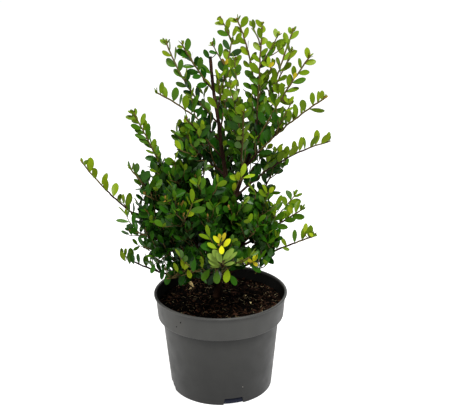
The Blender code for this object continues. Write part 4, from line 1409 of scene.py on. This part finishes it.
def build_crumbs(chance, shapes):
    """Crumbs of the growing medium, more of them brown on the right, as painted light on that side."""
    crumbs = Pile()
    for _ in range(CRUMB_COUNT):
        where = strewn(chance)
        size = MM * min(3.4, chance.lognormvariate(0.0, 0.5))
        points, faces = chance.choice(shapes)
        where.z += 0.2 * size
        stretch = (size, size * chance.uniform(0.6, 1), size * chance.uniform(0.5, 0.9))
        # Painted light: brown crumbs are more common on the right, where the light falls on the medium
        tone = 1 if chance.random() < 0.1 + 0.34 * (where.x > -10 * MM) else 0
        crumbs.add(turned_shape(points, where, stretch, chance, 0.5), faces, tone)
    return crumbs.build("soil_crumbs", [soil_material(*tone) for tone in CRUMB_TONES])


def build_chips(chance, shapes):
    """Flat chips of bark on the growing medium."""
    chips = Pile()
    for _ in range(CHIP_COUNT):
        where = strewn(chance)
        size = MM * chance.uniform(0.9, 2.6)
        points, faces = chance.choice(shapes)
        where.z += 0.7 * MM
        stretch = (size * chance.uniform(1.1, 2.2), size, size * 0.3)
        chips.add(turned_shape(points, where, stretch, chance, 0.4), faces, chance.randrange(2))
    return chips.build("soil_chips", [soil_material(*tone) for tone in CHIP_TONES])


def build_fibres(chance):
    """Short bent fibres on the growing medium."""
    fibres = Pile()
    for _ in range(FIBRE_COUNT):
        start = strewn(chance, 0.96)
        turn = chance.uniform(0, math.tau)
        bend = chance.gauss(0, 0.5)
        step = MM * chance.uniform(0.8, 2.6)
        path = [start + UP * chance.uniform(0.2, 1.4) * MM]
        for _ in range(4):
            turn += bend / 3
            ahead = path[-1] + Vector((math.cos(turn), math.sin(turn), 0)) * step
            if math.hypot(ahead.x, ahead.y) > SOIL_EDGE_RADIUS - MM:
                break
            ahead.z = ground(ahead.x, ahead.y) + chance.uniform(0.3, 1.3) * MM
            path.append(ahead)
        if len(path) < 3:
            continue
        radius = MM * chance.uniform(0.12, 0.4)
        fibres.add(*tube(path, [radius] * len(path), 4), chance.choice((0, 0, 1, 1, 2)))
    return fibres.build("soil_fibres", [soil_material(*tone) for tone in FIBRE_TONES])


def build_soil():
    """The growing medium with all that lies on it."""
    declare(build_ground(), "potting_mix", "soil")
    chance = random.Random(SOIL_SEED)
    shapes = lump_shapes(chance, 8)
    litter = build_crumbs(chance, shapes), build_chips(chance, shapes), build_fibres(chance)
    for piece in (*litter, build_fallen_leaf()):
        declare(piece, "potting_mix")


def dry_leaf(x, y, lift, ahead, *sizes):
    """A leaf that lies on the medium: a place, a direction, and its sizes as in a Leaf."""
    x, y = x * MM, y * MM
    away = Vector(ahead).normalized()
    length, width, curl, cup, fold = sizes
    root = Vector((x, y, ground(x, y) + lift * MM))
    return Leaf(root, away, square_to(UP, away), length * MM, width * MM, curl, cup, fold, 0)


def build_fallen_leaf():
    """A dry tan leaf that lies curled on the medium, left of the stem, and two husks."""
    leaves = []
    for x, y, turn, curl in ((-47, 31, 30, 0.7), (-39, 34, 150, -0.5)):
        ahead = (math.cos(math.radians(turn)), math.sin(math.radians(turn)), 0.12)
        leaves.append(dry_leaf(x, y, 2.2, ahead, 12, 7, curl, 0.5, 0.4))
    for x, y, size in ((36, 6, 3.0), (42, -17, 5.5)):
        leaves.append(dry_leaf(x, y, 1.5, (0.2, -1, 0.1), size, 2.6, 0.2, 0.6, 0.3))
    tan = leaf_material("leaf_dry", DRY_LEAF_TONE, 0.6)
    return build_leaves("fallen_leaf", leaves, [tan] * len(TONE_NAMES))


# Studio

def build_floor():
    """A plain pale floor."""
    mesh = bpy.data.meshes.new("floor")
    shape = bmesh.new()
    bmesh.ops.create_grid(shape, x_segments=1, y_segments=1, size=20)
    shape.to_mesh(mesh)
    shape.free()
    look = Look("floor_pale", (0.35, 0.35, 0.35), 0.9)
    look.surface["Emission Color"].default_value = (1, 1, 1, 1)
    look.surface["Emission Strength"].default_value = 0.9
    mesh.materials.append(look.material)
    new_object("floor", mesh)


def add_light(name, spot, size, power, colour=(1, 1, 1)):
    """A soft square light at a spot, turned to the plant."""
    data = bpy.data.lights.new(name, "AREA")
    data.shape = "SQUARE"
    data.size = size
    data.energy = power
    data.color = colour
    light = new_object(name, data)
    light.location = spot
    light.rotation_euler = (Vector(LIGHT_AIM) - Vector(spot)).to_track_quat("-Z", "Y").to_euler()


def build_studio():
    """The floor, a faint even sky and three soft lights."""
    build_floor()
    world = bpy.data.worlds.new("studio")
    world.use_nodes = True
    world.node_tree.nodes["Background"].inputs["Color"].default_value = (1, 1, 1, 1)
    world.node_tree.nodes["Background"].inputs["Strength"].default_value = 0.3
    bpy.context.scene.world = world
    add_light("key", (0.3, -1.0, 2.05), 0.7, 72)
    add_light("left", (-1.5, -0.3, 1.2), 0.8, 16, (1, 0.97, 0.88))
    add_light("back", (0.4, 1.3, 1.6), 1.0, 20)
    bpy.context.scene.view_settings.view_transform = "Standard"


def build_camera():
    """The camera, placed and turned as it was for the photograph."""
    data = bpy.data.cameras.new("camera")
    data.sensor_width = SENSOR_WIDTH
    data.lens = LENS
    camera = new_object("camera", data)
    forward = Vector((
        math.sin(CAMERA_YAW) * math.cos(CAMERA_PITCH),
        math.cos(CAMERA_YAW) * math.cos(CAMERA_PITCH),
        -math.sin(CAMERA_PITCH),
    ))
    right = Matrix.Rotation(-CAMERA_ROLL, 3, forward) @ forward.cross(UP).normalized()
    turn = Matrix((right, right.cross(forward), -forward)).transposed().to_4x4()
    camera.matrix_world = Matrix.Translation(CAMERA_PLACE) @ turn
    bpy.context.scene.camera = camera


build_camera()
build_studio()
build_pot()
build_recess()
build_specks()
build_soil()
build_foliage(build_limbs(bark_material()))
